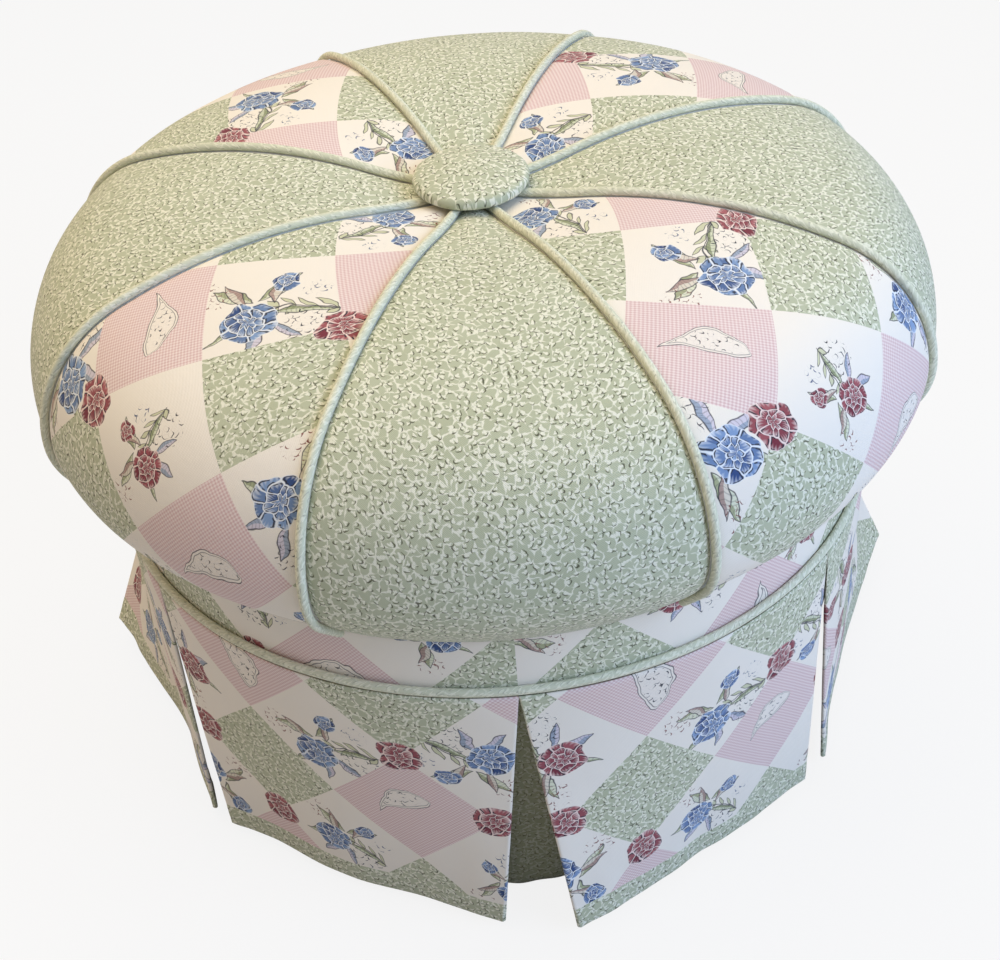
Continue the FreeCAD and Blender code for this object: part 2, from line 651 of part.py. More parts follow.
def button_cap(label, radius, thickness, foot, lip):
    """Domed cap with an upright edge and, where it has a lip, an edge turned in below."""
    edge = size("Sizes.ButtonEdge") - foot
    rise = size("Sizes.ButtonHeight") - size("Sizes.ButtonEdge") - (size("Sizes.ButtonRadius") - radius)
    outer = cap_arc(radius, edge, rise)
    inner = cap_arc(radius - thickness, edge, rise - thickness)
    corners = [point(radius, 0)]
    corners += [point(radius - lip, 0), point(radius - lip, thickness)] if lip else []
    corners += [point(radius - thickness, thickness if lip else 0)]
    spots = [point(radius, edge)] + corners + [point(radius - thickness, edge)]
    lines = [Part.LineSegment(start, end) for start, end in zip(spots, spots[1:])]
    top = [Part.LineSegment(point(0, edge + rise - thickness), point(0, edge + rise))]
    return turned(label, [outer] + lines + [inner] + top)


def cap_arc(radius, edge, rise):
    """Arc of a cap from its crown on the axis to its upright edge."""
    ball = (radius ** 2 + rise ** 2) / (2 * rise)
    start = math.degrees(math.asin((ball - rise) / ball))
    return arc(point(0, edge + rise - ball), ball, 90, start)


def build_button():
    """Covered button that holds the middle of the cushion down, with its wire loop."""
    radius = size("Sizes.ButtonRadius")
    seat = dimple_height(radius) + size(f"{PIPING_LIFT} + Sizes.PipingRadius + Sizes.FitGap")
    cloth, steel, gap = (size("Sizes." + name) for name in ("ButtonCloth", "MouldThickness", "FitGap"))
    cover = button_cap("button_cover", radius, cloth, 0, size("Sizes.ButtonLip"))
    cover.Placement.Base.z = seat
    mould = button_cap("button_mould", radius - cloth - gap, steel, cloth + gap, 0)
    mould.Placement.Base.z = seat + cloth + gap
    plate_foot = seat + cloth + gap
    plate = doc.addObject("Part::Cylinder", "BackPlate")
    plate.Radius = radius - cloth - steel - 2 * gap
    plate.setExpression("Height", "Sizes.BackThickness")
    plate.Placement.Base.z = plate_foot
    loop = doc.addObject("Part::Torus", "BackLoop")
    loop.setExpression("Radius1", "Sizes.LoopRadius")
    loop.setExpression("Radius2", "Sizes.LoopWire")
    loop.Angle3 = 180
    loop_height = plate_foot + size("Sizes.BackThickness") / 2
    loop.Placement = Placement(Vector(0, 0, loop_height), Rotation(Vector(1, 0, 0), -90))
    back = doc.addObject("Part::MultiFuse", "ButtonBack")
    back.Shapes = [plate, loop]
    keep(back, "button_back")
    build_twine(loop_height - size("Sizes.LoopRadius"))


def build_twine(loop_foot):
    """Doubled twine from the button's loop down to a toggle under the top board."""
    bend = size(TWINE_BEND)
    inner = bend - size("Sizes.TwineRadius")
    upper = loop_foot + size("Sizes.LoopWire + Sizes.BoltClearance") - inner
    lower = size(f"{TOP_BOARD} - Sizes.FitGap - Sizes.ToggleRadius")
    pieces = []
    for name, across in (("Left", -bend), ("Right", bend)):
        leg = doc.addObject("Part::Cylinder", "Twine" + name)
        leg.setExpression("Radius", "Sizes.TwineRadius")
        leg.Height = upper - lower
        leg.Placement.Base = Vector(0, across, lower)
        pieces.append(leg)
    for name, height, tilt in (("Upper", upper, 90), ("Lower", lower, -90)):
        half = doc.addObject("Part::Torus", "TwineBend" + name)
        half.setExpression("Radius1", TWINE_BEND)
        half.setExpression("Radius2", "Sizes.TwineRadius")
        half.Angle3 = 180
        spin = Rotation(Vector(0, 0, 1), 90).multiply(Rotation(Vector(1, 0, 0), tilt))
        half.Placement = Placement(Vector(0, 0, height), spin)
        pieces.append(half)
    twine = doc.addObject("Part::MultiFuse", "Twine")
    twine.Shapes = pieces
    keep(twine, "tufting_twine")
    toggle = doc.addObject("Part::Cylinder", "Toggle")
    toggle.setExpression("Radius", "Sizes.ToggleRadius")
    toggle.setExpression("Height", "Sizes.ToggleLength")
    start = Vector(-size("Sizes.ToggleLength") / 2, 0, lower)
    toggle.Placement = Placement(start, Rotation(Vector(0, 1, 0), 90))
    keep(toggle, "twine_toggle")


# Skirt

def cloth_edge(body, name, height, outer, middle, thickness, spread, swing=0.0):
    """Cross section of a hanging cloth: two arcs a thickness apart, bowed from the corners to the middle.

    A swing turns it about one corner, and its other corner moves outwards: the left one if it is positive.
    """
    sketch = new_sketch(body, name, "XY_Plane", height)
    half = math.radians(spread / 2)
    pivot = point(outer * math.cos(half), math.copysign(outer, -swing) * math.sin(half))
    spin = Rotation(Vector(0, 0, 1), -swing)
    faces = []
    for depth in (0, thickness):
        reach = outer - depth
        spots = [point(reach * math.cos(half), side * reach * math.sin(half)) for side in (-1, 1)]
        spots.insert(1, point(middle - depth, 0))
        faces.append(arc_through(*[pivot + spin.multVec(spot - pivot) for spot in spots]))
    front, back = faces
    sides = [Part.LineSegment(front_end, back_end) for front_end, back_end in arc_ends(front, back)]
    add_outline(sketch, [front, sides[1], back, sides[0]])
    return sketch


def arc_ends(front, back):
    """Pairs of facing ends of two arcs, lower one first."""
    ends = [sorted((face.StartPoint, face.EndPoint), key=lambda spot: spot.y) for face in (front, back)]
    return list(zip(*ends))


def hang(label, azimuth, top, hem):
    """Ruled cloth between its section at the welt and its section at the hem."""
    body = new_body(label)
    sections = [cloth_edge(body, name, *edge) for name, edge in (("Top", top), ("Hem", hem))]
    feature = body.newObject("PartDesign::AdditiveLoft", "Loft_" + label)
    feature.Profile = sections[0]
    feature.Sections = [sections[1]]
    feature.Ruled = True
    body.Placement = turn(azimuth)


def side_of(azimuth, pitch):
    """1 for the panel on the right side, -1 for the one on the left side, 0 for the others."""
    return (abs(azimuth - 90) < pitch / 2) - (abs(azimuth - 270) < pitch / 2)


def build_skirt():
    """Lined panels between the pleats, and the plain backing behind each pleat."""
    count = size("Sizes.PleatCount")
    pitch = 360 / count
    thick = size("Sizes.PanelThickness")
    outer = size(PANEL_OUTER)
    corner, middle = size(f"{BAND_OUTER} + Sizes.HemCornerFlare"), size(f"{BAND_OUTER} - Sizes.HemMiddlePull")
    top = (SKIRT_TOP, outer, outer, thick, pitch - size("Sizes.PleatTopAngle"))
    hem = ("Sizes.HemHeight", corner, middle, thick, pitch - size("Sizes.PleatHemAngle"))
    for number, azimuth in enumerate(azimuths(count, pitch / 2), 1):
        swing = side_of(azimuth, pitch) * size("Sizes.SideSwing")
        hang(f"skirt_panel_{number}", azimuth, top, (*hem, swing))
    thick = size("Sizes.InsertThickness")
    outer, inner = size(INSERT_OUTER), size(f"{BAND_OUTER} - Sizes.InsertHemPull")
    top = (SKIRT_TOP, outer, outer, thick, size("Sizes.InsertTopAngle"))
    hem = ("Sizes.HemHeight", inner, inner, thick, size("Sizes.InsertHemAngle"))
    for number, azimuth in enumerate(azimuths(count), 1):
        hang(f"pleat_insert_{number}", azimuth, top, hem)


def check(objects):
    """Stop if any object failed to compute or any sub-part is empty or invalid."""
    for item in objects:
        if "Invalid" in item.State or "Error" in item.State:
            raise RuntimeError(f"{item.Name} did not compute: {item.State}")
    for item in nodes:
        if item.Shape.isNull() or not item.Shape.isValid() or not item.Shape.Solids:
            raise RuntimeError(f"{item.Label} has no valid solid")


build_rings()
build_posts()
build_board()
build_legs()
build_bolts()
build_screws()
build_drum()
build_filling()
build_gores()
build_piping()
build_button()
build_skirt()
doc.recompute()
check(doc.Objects)

os.makedirs("parts", exist_ok=True)
for item in nodes:
    item.Shape.exportStep(f"parts/{item.Label}.step")
    print(f"{item.Label}: {len(item.Shape.Solids)} solid(s), {item.Shape.Volume / 1000:.2f} cm3")
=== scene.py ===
"""Looks of the skirted tuffet: printed cottons, covered cords, button, skirt, and the plain stuff inside.

Metres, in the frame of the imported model: +Z is up, the floor is at zero and the front faces -Y. An azimuth
is measured from the front towards +X, in degrees. Flat places on a cloth are metres too, in the UV map
"Cloth"; the prints are drawn in millimetres of that cloth.
"""

import bpy
import math
from mathutils import Matrix, Vector, noise


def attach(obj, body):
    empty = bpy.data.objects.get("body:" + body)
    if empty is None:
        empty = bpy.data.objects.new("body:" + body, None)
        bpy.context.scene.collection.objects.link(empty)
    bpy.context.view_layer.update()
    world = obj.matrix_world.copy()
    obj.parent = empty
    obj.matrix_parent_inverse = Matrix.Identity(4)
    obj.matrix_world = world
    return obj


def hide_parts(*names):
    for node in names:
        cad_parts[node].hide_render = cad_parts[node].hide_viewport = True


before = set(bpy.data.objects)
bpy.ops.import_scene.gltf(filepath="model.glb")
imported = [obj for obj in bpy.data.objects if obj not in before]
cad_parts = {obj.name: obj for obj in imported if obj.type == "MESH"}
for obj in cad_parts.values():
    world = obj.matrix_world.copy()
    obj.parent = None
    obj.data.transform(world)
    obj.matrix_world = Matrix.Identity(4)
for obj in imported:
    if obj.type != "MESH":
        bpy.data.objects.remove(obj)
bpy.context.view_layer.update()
bpy.ops.object.select_all(action="DESELECT")

# Cushion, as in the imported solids
GORES = 8
CUSHION_RADIUS = 0.305
EQUATOR = 0.343
COVER_FOOT = 0.2778
SHOULDER = 0.0895
CROWN_RADIUS = 0.337
CROWN_CENTRE = (0.137, 0.10828)
DIMPLE_RADIUS = 0.40766
DIMPLE_CENTRE = (0.0, 0.84023)
CROWN_SLOPE = 10.60
SHOULDER_MEET = 71.51
TUCK_RADIUS = 0.05187
TUCK_ANGLE = 42.0
COVER_START = 0.012
CORD_RADIUS = 0.003
CORD_LIFT = 0.0015
CORD_START = 0.014
CORD_FOOT = 0.2813
BUTTON_RADIUS = 0.0386
BUTTON_SEAT = 0.4392
BUTTON_HEIGHT = 0.0125
BUTTON_ROUND = 0.0044
BUTTON_GATHERS = 26

# Drum and skirt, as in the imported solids
BAND_RADIUS = 0.2621
BAND_FOOT = 0.2262
BAND_TOP = 0.2775
WELT_RADIUS = 0.2654
WELT_HEIGHT = 0.2355
PLEATS = 6
SKIRT_TOP = 0.2322
HEM = 0.008
PANEL_TOP_RADIUS = 0.2678
PANEL_TOP_SPREAD = 59.4
PANEL_HEM_SPREAD = 49.8
HEM_CORNER = 0.265
HEM_MIDDLE = 0.245
INSERT_TOP_RADIUS = 0.2657
INSERT_HEM_RADIUS = 0.2315
INSERT_TOP_SPREAD = 14.0
INSERT_HEM_SPREAD = 23.0

# Cloth: thickness, and how far it sinks at a seam, puffs out and is blown up
COVER_CLOTH = 0.0012
BAND_CLOTH = 0.0011
BUTTON_CLOTH = 0.001
SKIRT_CLOTH = 0.0009
SEAM_SINK = 0.0028
SEAM_SOFTNESS = 0.0034
PUFF = 0.0008
BLOWN = 0.0022
PRESSURE = 4
SETTLE_FRAMES = 20
HEM_BORDER = 0.017
HEM_BINDING = 0.0006
FOLD_RADIUS = 0.0016
FLAP = 0.024

# Mesh density
GORE_ROWS = 76
GORE_COLUMNS = 28
CORD_STEPS = 150
CORD_SIDES = 12
ROUND_STEPS = 240
BAND_ROWS = 8
PANEL_ROWS = 22
PANEL_COLUMNS = 26
BORDER_ROWS = 4
INSERT_ROWS = 24
INSERT_COLUMNS = 20

# How far a panel's corner leaves its even place, by panel and side (-1 is the side of the lower azimuth):
# across and outwards at the hem, up at the hem, and degrees at the welt
CORNER_SHIFTS = {
    (1, -1): (0.0002, 0.0121, 0.0, 0.0),
    (1, 1): (-0.0122, 0.0031, 0.0, -7.5),
    (2, -1): (-0.0290, -0.0140, 0.0, -7.5),
    (2, 1): (-0.0270, 0.0780, 0.014, 0.0),
    (5, -1): (0.0440, 0.0800, 0.014, 0.0),
    (5, 1): (0.0244, -0.0095, 0.0, 0.0),
}
PLEAT_SHIFTS = {2: -3.5}


# Mesh helpers

def round_place(radius, azimuth, height):
    """Point at a radius, an azimuth in degrees and a height."""
    angle = math.radians(azimuth)
    return Vector((radius * math.sin(angle), -radius * math.cos(angle), height))


def skin(name, rows, cloth, joined=False):
    """Quads over rows of points, top row first, azimuth rising; cloth gives each point's flat place."""
    count = len(rows[0])
    across = count if joined else count - 1
    faces, spots = [], []
    for row in range(len(rows) - 1):
        for column in range(across):
            after = (column + 1) % count
            faces.append((row * count + column, (row + 1) * count + column,
                          (row + 1) * count + after, row * count + after))
            spots += [cloth[row][column], cloth[row + 1][column],
                      cloth[row + 1][column + 1], cloth[row][column + 1]]
    mesh = bpy.data.meshes.new(name)
    mesh.from_pydata([spot for row in rows for spot in row], [], faces)
    layer = mesh.uv_layers.new(name="Cloth")
    layer.data.foreach_set("uv", [value for spot in spots for value in spot])
    mesh.shade_smooth()
    piece = bpy.data.objects.new(name, mesh)
    bpy.context.scene.collection.objects.link(piece)
    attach(piece, "root")
    return piece


def soften(piece):
    """Live subdivision."""
    modifier = piece.modifiers.new("Subdivision", "SUBSURF")
    modifier.levels = 1
    modifier.render_levels = 1


def thicken(piece, thickness, shell=0):
    """Live thickness on the inner side, whose faces take the material that many slots on."""
    modifier = piece.modifiers.new("Thickness", "SOLIDIFY")
    modifier.thickness = thickness
    modifier.offset = -1
    modifier.use_even_offset = True
    modifier.material_offset = shell


def dress(piece, *materials):
    """Give a piece its materials in slot order."""
    for material in materials:
        piece.data.materials.append(material)


def cloth_noise(*place):
    """Smooth noise from -1 to 1."""
    return noise.noise(Vector((*place, 0, 0)[:3]))


# Cushion outline

def outline(offset, start, foot, steps):
    """Points of the cushion's outline moved outwards: radius, height, outward direction and run."""
    dimple = DIMPLE_RADIUS - offset
    arcs = [
        (DIMPLE_CENTRE, dimple, math.degrees(math.asin(start / dimple)) - 90, CROWN_SLOPE - 90, -1),
        (CROWN_CENTRE, CROWN_RADIUS + offset, CROWN_SLOPE + 90, SHOULDER_MEET, 1),
        ((CUSHION_RADIUS - SHOULDER, EQUATOR), SHOULDER + offset, SHOULDER_MEET, 0, 1),
        ((CUSHION_RADIUS - TUCK_RADIUS, EQUATOR), TUCK_RADIUS + offset, 0, -TUCK_ANGLE, 1),
    ]
    dense = []
    for centre, radius, first, last, side in arcs:
        for step in range(60):
            angle = math.radians(first + (last - first) * step / 60)
            way = (math.cos(angle), math.sin(angle))
            dense.append((centre[0] + radius * way[0], centre[1] + radius * way[1],
                          side * way[0], side * way[1]))
    angle = math.radians(TUCK_ANGLE)
    way = (math.cos(angle), -math.sin(angle))
    knee_radius = CUSHION_RADIUS - TUCK_RADIUS + (TUCK_RADIUS + offset) * way[0]
    knee_height = EQUATOR + (TUCK_RADIUS + offset) * way[1]
    for step in range(21):
        down = (knee_height - foot) * step / 20
        dense.append((knee_radius - down * math.tan(angle), knee_height - down, *way))
    runs = [0.0]
    for before, after in zip(dense, dense[1:]):
        runs.append(runs[-1] + math.hypot(after[0] - before[0], after[1] - before[1]))
    points, index = [], 0
    for step in range(steps + 1):
        run = runs[-1] * step / steps
        while index < len(dense) - 2 and runs[index + 1] < run:
            index += 1
        share = (run - runs[index]) / (runs[index + 1] - runs[index])
        mixed = [a + (b - a) * share for a, b in zip(dense[index], dense[index + 1])]
        points.append((*mixed, run))
    return points


def blow_up(pieces):
    """Cloth simulation of gores under pressure, sewn down all round; its moves are kept, scaled to BLOWN."""
    sewn_columns = (0, 1, GORE_COLUMNS - 1, GORE_COLUMNS)
    edge = [row * (GORE_COLUMNS + 1) + column
            for row in range(GORE_ROWS + 1) for column in range(GORE_COLUMNS + 1)
            if row in (0, GORE_ROWS) or column in sewn_columns]
    for piece in pieces:
        sewn = piece.vertex_groups.new(name="Sewn")
        sewn.add(edge, 1.0, "REPLACE")
        cloth = piece.modifiers.new("Cloth", "CLOTH")
        cloth.settings.vertex_group_mass = "Sewn"
        cloth.settings.use_pressure = True
        cloth.settings.uniform_pressure_force = PRESSURE
        cloth.settings.effector_weights.gravity = 0
        cloth.settings.quality = 5
        cloth.collision_settings.use_collision = False
    for step in range(1, SETTLE_FRAMES + 1):
        bpy.context.scene.frame_set(step)
    graph = bpy.context.evaluated_depsgraph_get()
    for piece in pieces:
        settled = [vertex.co.copy() for vertex in piece.evaluated_get(graph).data.vertices]
        moves = [after - vertex.co for after, vertex in zip(settled, piece.data.vertices)]
        scale = min(1.0, BLOWN / max(1e-9, max(move.length for move in moves)))
        for vertex, move in zip(piece.data.vertices, moves):
            vertex.co += move * scale
        piece.modifiers.remove(piece.modifiers["Cloth"])
        piece.vertex_groups.clear()
    bpy.context.scene.frame_set(1)


def build_gores():
    """Eight gores of the cover, drawn down along the seams and blown up a little between them."""
    profile = outline(0, COVER_START, COVER_FOOT, GORE_ROWS)
    half = 180 / GORES
    pieces = []
    for number in range(GORES):
        centre = 360 * number / GORES
        rows, cloth = [], []
        for radius, height, out, up, run in profile:
            row, flat = [], []
            for column in range(GORE_COLUMNS + 1):
                share = math.sin(math.pi / 2 * (2 * column / GORE_COLUMNS - 1))
                across = math.radians(half) * share * radius
                width = math.radians(half) * radius
                rise = (1 - share ** 2) ** 0.6 * PUFF * min(1, width / 0.05)
                rise *= min(1, (height - COVER_FOOT) / 0.02)
                rise -= SEAM_SINK * math.exp(-((1 - abs(share)) * width / SEAM_SOFTNESS) ** 2)
                ripple = cloth_noise(across * 14 + number * 7, run * 9, number)
                rise += ripple * 0.0006 * (1 - share ** 2)
                row.append(round_place(radius + out * rise, centre + half * share, height + up * rise))
                flat.append((across, -run))
            rows.append(row)
            cloth.append(flat)
        pieces.append(skin(f"cushion_gore_{number + 1}", rows, cloth))
    blow_up(pieces)
    for number, piece in enumerate(pieces):
        soften(piece)
        thicken(piece, COVER_CLOTH)
        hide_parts(f"cover_gore_{number + 1}")
    return pieces


def tube(name, path, joined=False):
    """Covered cord along a path of (place, outward, sideways); its cloth is cut on the bias."""
    angles = [2 * math.pi * side / CORD_SIDES for side in range(CORD_SIDES + 1)]
    rows, cloth, run = [], [], 0.0
    before = path[0][0]
    for place, out, aside in path:
        run += (place - before).length
        before = place
        row = []
        for angle in angles[:-1]:
            swell = 1 + 0.045 * cloth_noise(run * 160, math.sin(angle) * 1.5, len(name))
            row.append(place + (out * math.cos(angle) + aside * math.sin(angle)) * CORD_RADIUS * swell)
        rows.append(row)
        cloth.append([(CORD_RADIUS * angle, run + CORD_RADIUS * angle) for angle in angles])
    if joined:
        rows.append(rows[0])
        run += (path[0][0] - before).length
        cloth.append([(CORD_RADIUS * angle, run + CORD_RADIUS * angle) for angle in angles])
    piece = skin(name, rows, cloth, joined=True)
    bpy.context.view_layer.objects.active = piece
    piece.select_set(True)
    bpy.ops.object.mode_set(mode="EDIT")
    bpy.ops.mesh.select_all(action="SELECT")
    bpy.ops.mesh.remove_doubles(threshold=1e-6)
    if not joined:
        bpy.ops.mesh.select_all(action="DESELECT")
        bpy.ops.mesh.select_non_manifold()
        bpy.ops.mesh.fill_holes(sides=CORD_SIDES)
        bpy.ops.mesh.select_all(action="SELECT")
    bpy.ops.mesh.normals_make_consistent(inside=False)
    bpy.ops.object.mode_set(mode="OBJECT")
    piece.select_set(False)
    return piece


def build_seam_cords():
    """Covered cords in the seams, from under the button to the underside of the cushion."""
    line = outline(CORD_LIFT, CORD_START, CORD_FOOT, CORD_STEPS)
    pieces = []
    for number in range(GORES):
        azimuth = 360 * (number + 0.5) / GORES
        aside = round_place(1, azimuth + 90, 0)
        path = []
        for radius, height, out, up, run in line:
            sway = 0.0006 * cloth_noise(run * 11, number * 5)
            place = round_place(radius, azimuth, height) + aside * sway
            path.append((place, round_place(out, azimuth, up), aside))
        piece = tube(f"seam_cord_{number + 1}", path)
        soften(piece)
        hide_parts(f"seam_piping_{number + 1}")
        pieces.append(piece)
    return pieces


def build_welt():
    """Cord between the boxing band and the skirt."""
    path = []
    for step in range(ROUND_STEPS):
        azimuth = 360 * step / ROUND_STEPS
        angle = math.radians(azimuth)
        height = WELT_HEIGHT + 0.0005 * cloth_noise(math.sin(angle) * 3, math.cos(angle) * 3)
        place = round_place(WELT_RADIUS, azimuth, height)
        path.append((place, round_place(1, azimuth, 0), Vector((0, 0, -1))))
    piece = tube("welt_cord", path, joined=True)
    soften(piece)
    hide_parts("skirt_welt")
    return piece


def build_button():
    """Covered button: shallow dome with a soft round rim, and the cloth gathered in underneath."""
    middle = BUTTON_SEAT + 0.0036
    # Rings of radius and height: the gathers below, round the rim, and up the dome
    rings = [(BUTTON_RADIUS - 0.013, BUTTON_SEAT - 0.0016), (BUTTON_RADIUS - 0.008, BUTTON_SEAT - 0.0020)]
    for step in range(9):
        angle = math.radians(-80 + 160 * step / 8)
        rings.append((BUTTON_RADIUS - BUTTON_ROUND + BUTTON_ROUND * math.cos(angle),
                      middle + BUTTON_ROUND * math.sin(angle)))
    for step in range(1, 12):
        share = 1 - step / 12
        rings.append(((BUTTON_RADIUS - 0.0040) * share,
                      BUTTON_SEAT + BUTTON_HEIGHT - BUTTON_ROUND * share ** 2))
    bpy.ops.mesh.primitive_circle_add(vertices=104, radius=rings[0][0], location=(0, 0, rings[0][1]))
    piece = bpy.context.object
    piece.name = "covered_button"
    piece.data.name = "covered_button"
    bpy.ops.object.transform_apply(location=True, rotation=False, scale=False)
    bpy.ops.object.mode_set(mode="EDIT")
    bpy.ops.mesh.select_all(action="SELECT")
    for before, ring in zip(rings, rings[1:]):
        bpy.ops.mesh.extrude_region_move(TRANSFORM_OT_translate={"value": (0, 0, ring[1] - before[1])})
        bpy.ops.transform.resize(value=(ring[0] / before[0], ring[0] / before[0], 1),
                                 center_override=(0, 0, ring[1]))
    bpy.ops.mesh.merge(type="CENTER")
    bpy.ops.mesh.select_all(action="SELECT")
    bpy.ops.mesh.normals_make_consistent(inside=False)
    bpy.ops.object.mode_set(mode="OBJECT")
    while piece.data.uv_layers:
        piece.data.uv_layers.remove(piece.data.uv_layers[0])
    layer = piece.data.uv_layers.new(name="Cloth")
    for loop in piece.data.loops:
        place = piece.data.vertices[loop.vertex_index].co
        reach = math.hypot(place.x, place.y)
        spread = 1.0 if place.z > middle else (2 * BUTTON_RADIUS - reach) / reach
        layer.data[loop.index].uv = (place.x * spread, place.y * spread)
    for vertex in piece.data.vertices:
        angle = math.atan2(vertex.co.y, vertex.co.x)
        under = max(0.0, min(1.0, (BUTTON_SEAT + 0.0005 - vertex.co.z) / 0.003))
        fold = 0.0006 * under * math.sin(angle * BUTTON_GATHERS + math.sin(angle * 3))
        dent = 0.0003 * cloth_noise(vertex.co.x * 60, vertex.co.y * 60, 3.0)
        vertex.co.z += fold + dent
    piece.data.shade_smooth()
    piece.select_set(False)
    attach(piece, "root")
    soften(piece)
    thicken(piece, BUTTON_CLOTH)
    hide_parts("button_cover")
    return piece


def build_band():
    """Boxing band round the drum, a little slack under the cushion."""
    rows, cloth = [], []
    for row_index in range(BAND_ROWS + 1):
        height = BAND_TOP - (BAND_TOP - BAND_FOOT) * row_index / BAND_ROWS
        free = math.sin(math.pi * row_index / BAND_ROWS)
        row, flat = [], []
        for step in range(ROUND_STEPS + 1):
            azimuth = 360 * step / ROUND_STEPS
            angle = math.radians(azimuth)
            slack = 0.0005 * cloth_noise(math.sin(angle) * 5, math.cos(angle) * 5, height * 20)
            if step < ROUND_STEPS:
                row.append(round_place(BAND_RADIUS + slack * free, azimuth, height))
            flat.append((BAND_RADIUS * angle, height))
        rows.append(row)
        cloth.append(flat)
    piece = skin("band_cloth", rows, cloth, joined=True)
    soften(piece)
    thicken(piece, BAND_CLOTH)
    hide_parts("boxing_band")
    return piece


# Skirt

def panel_spot(number, share, height):
    """Outside of a panel in its own frame: across, outwards, up. Share runs from edge to edge as -1 to 1."""
    rise = (height - HEM) / (SKIRT_TOP - HEM)
    top_angle = PANEL_TOP_SPREAD / 2 * share
    hem_angle = math.radians(PANEL_HEM_SPREAD / 2)
    corner = HEM_CORNER * math.cos(hem_angle)
    across = HEM_CORNER * math.sin(hem_angle) * share
    outward = HEM_MIDDLE + (corner - HEM_MIDDLE) * abs(share) ** 2.4
    lift = 0.0
    for side in (-1, 1):
        shift = CORNER_SHIFTS.get((number, side), (0.0, 0.0, 0.0, 0.0))
        weight = max(0.0, (1 + side * share) / 2) ** 1.5
        across += shift[0] * weight
        outward += shift[1] * weight
        lift += shift[2] * weight
        top_angle += shift[3] * weight
    top_angle = math.radians(top_angle)
    top = (PANEL_TOP_RADIUS * math.sin(top_angle), PANEL_TOP_RADIUS * math.cos(top_angle))
    fall = 1 - rise
    wave = 0.0050 * fall ** 1.3 * cloth_noise(share * 1.6 + number * 9.1, rise * 0.8, number * 3.3)
    wave += 0.0016 * fall * cloth_noise(share * 5.5 + number * 5.7, rise * 2.1, 4.0)
    wave += 0.0007 * cloth_noise(share * 11 + rise * 7, rise * 9 + number, 8.0)
    wave *= 1 - 0.6 * abs(share) ** 6
    up = lift + 0.0016 * cloth_noise(share * 2 + number * 4.1, 9.0)
    return Vector((across + (top[0] - across) * rise, outward + (top[1] - outward) * rise + wave,
                   max(HEM, height + up * fall)))


def panel_columns():
    """Columns of a panel: share across, then how far beyond its edge and how deep in the turned-in flap."""
    folds = []
    for step in range(1, 5):
        angle = math.pi * step / 4
        folds.append((FOLD_RADIUS * math.sin(angle), FOLD_RADIUS * (1 - math.cos(angle))))
    for step in range(1, 4):
        folds.append((-FLAP * step / 3, 2 * FOLD_RADIUS))
    middle = [(math.sin(math.pi / 2 * (2 * step / PANEL_COLUMNS - 1)), 0.0, 0.0)
              for step in range(PANEL_COLUMNS + 1)]
    left = [(-1.0, beyond, depth) for beyond, depth in reversed(folds)]
    right = [(1.0, beyond, depth) for beyond, depth in folds]
    return left + middle + right


def build_panels():
    """Lined panels of the skirt, with their sides folded in at the pleats and a green border at the hem."""
    border = HEM + HEM_BORDER
    fall = SKIRT_TOP - border - 0.0004
    heights = [SKIRT_TOP - fall * step / PANEL_ROWS for step in range(PANEL_ROWS + 1)]
    heights += [border - (HEM_BORDER - 0.001) * step / BORDER_ROWS for step in range(BORDER_ROWS + 1)]
    heights.append(HEM)
    pieces = []
    for number in range(1, PLEATS + 1):
        turned = Matrix.Rotation(math.radians(360 * (number - 0.5) / PLEATS), 3, "Z")
        rows, cloth = [], []
        for height in heights:
            row, flat = [], []
            opened = min(1.0, (SKIRT_TOP - height) / 0.06)
            binding = HEM_BINDING if height <= border else 0.0
            for share, beyond, depth in panel_columns():
                side = math.copysign(1, share)
                place = panel_spot(number, share, height)
                near = panel_spot(number, share - side * 0.03, height)
                run = Vector((place.x - near.x, place.y - near.y, 0)).normalized()
                inward = Vector((run.y, -run.x, 0)) * side
                flat.append((place.x + side * (abs(beyond) + depth), height))
                reach = beyond if beyond > 0 else beyond * opened
                place += run * reach + inward * (depth * (0.3 + 0.7 * opened) if depth else -binding)
                row.append(turned @ Vector((place.x, -place.y, place.z)))
            rows.append(row)
            cloth.append(flat)
        piece = skin(f"skirt_cloth_{number}", rows, cloth)
        for polygon in piece.data.polygons:
            polygon.material_index = int(polygon.index // (len(rows[0]) - 1) >= PANEL_ROWS)
        soften(piece)
        thicken(piece, SKIRT_CLOTH, shell=2)
        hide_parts(f"skirt_panel_{number}")
        pieces.append(piece)
    return pieces


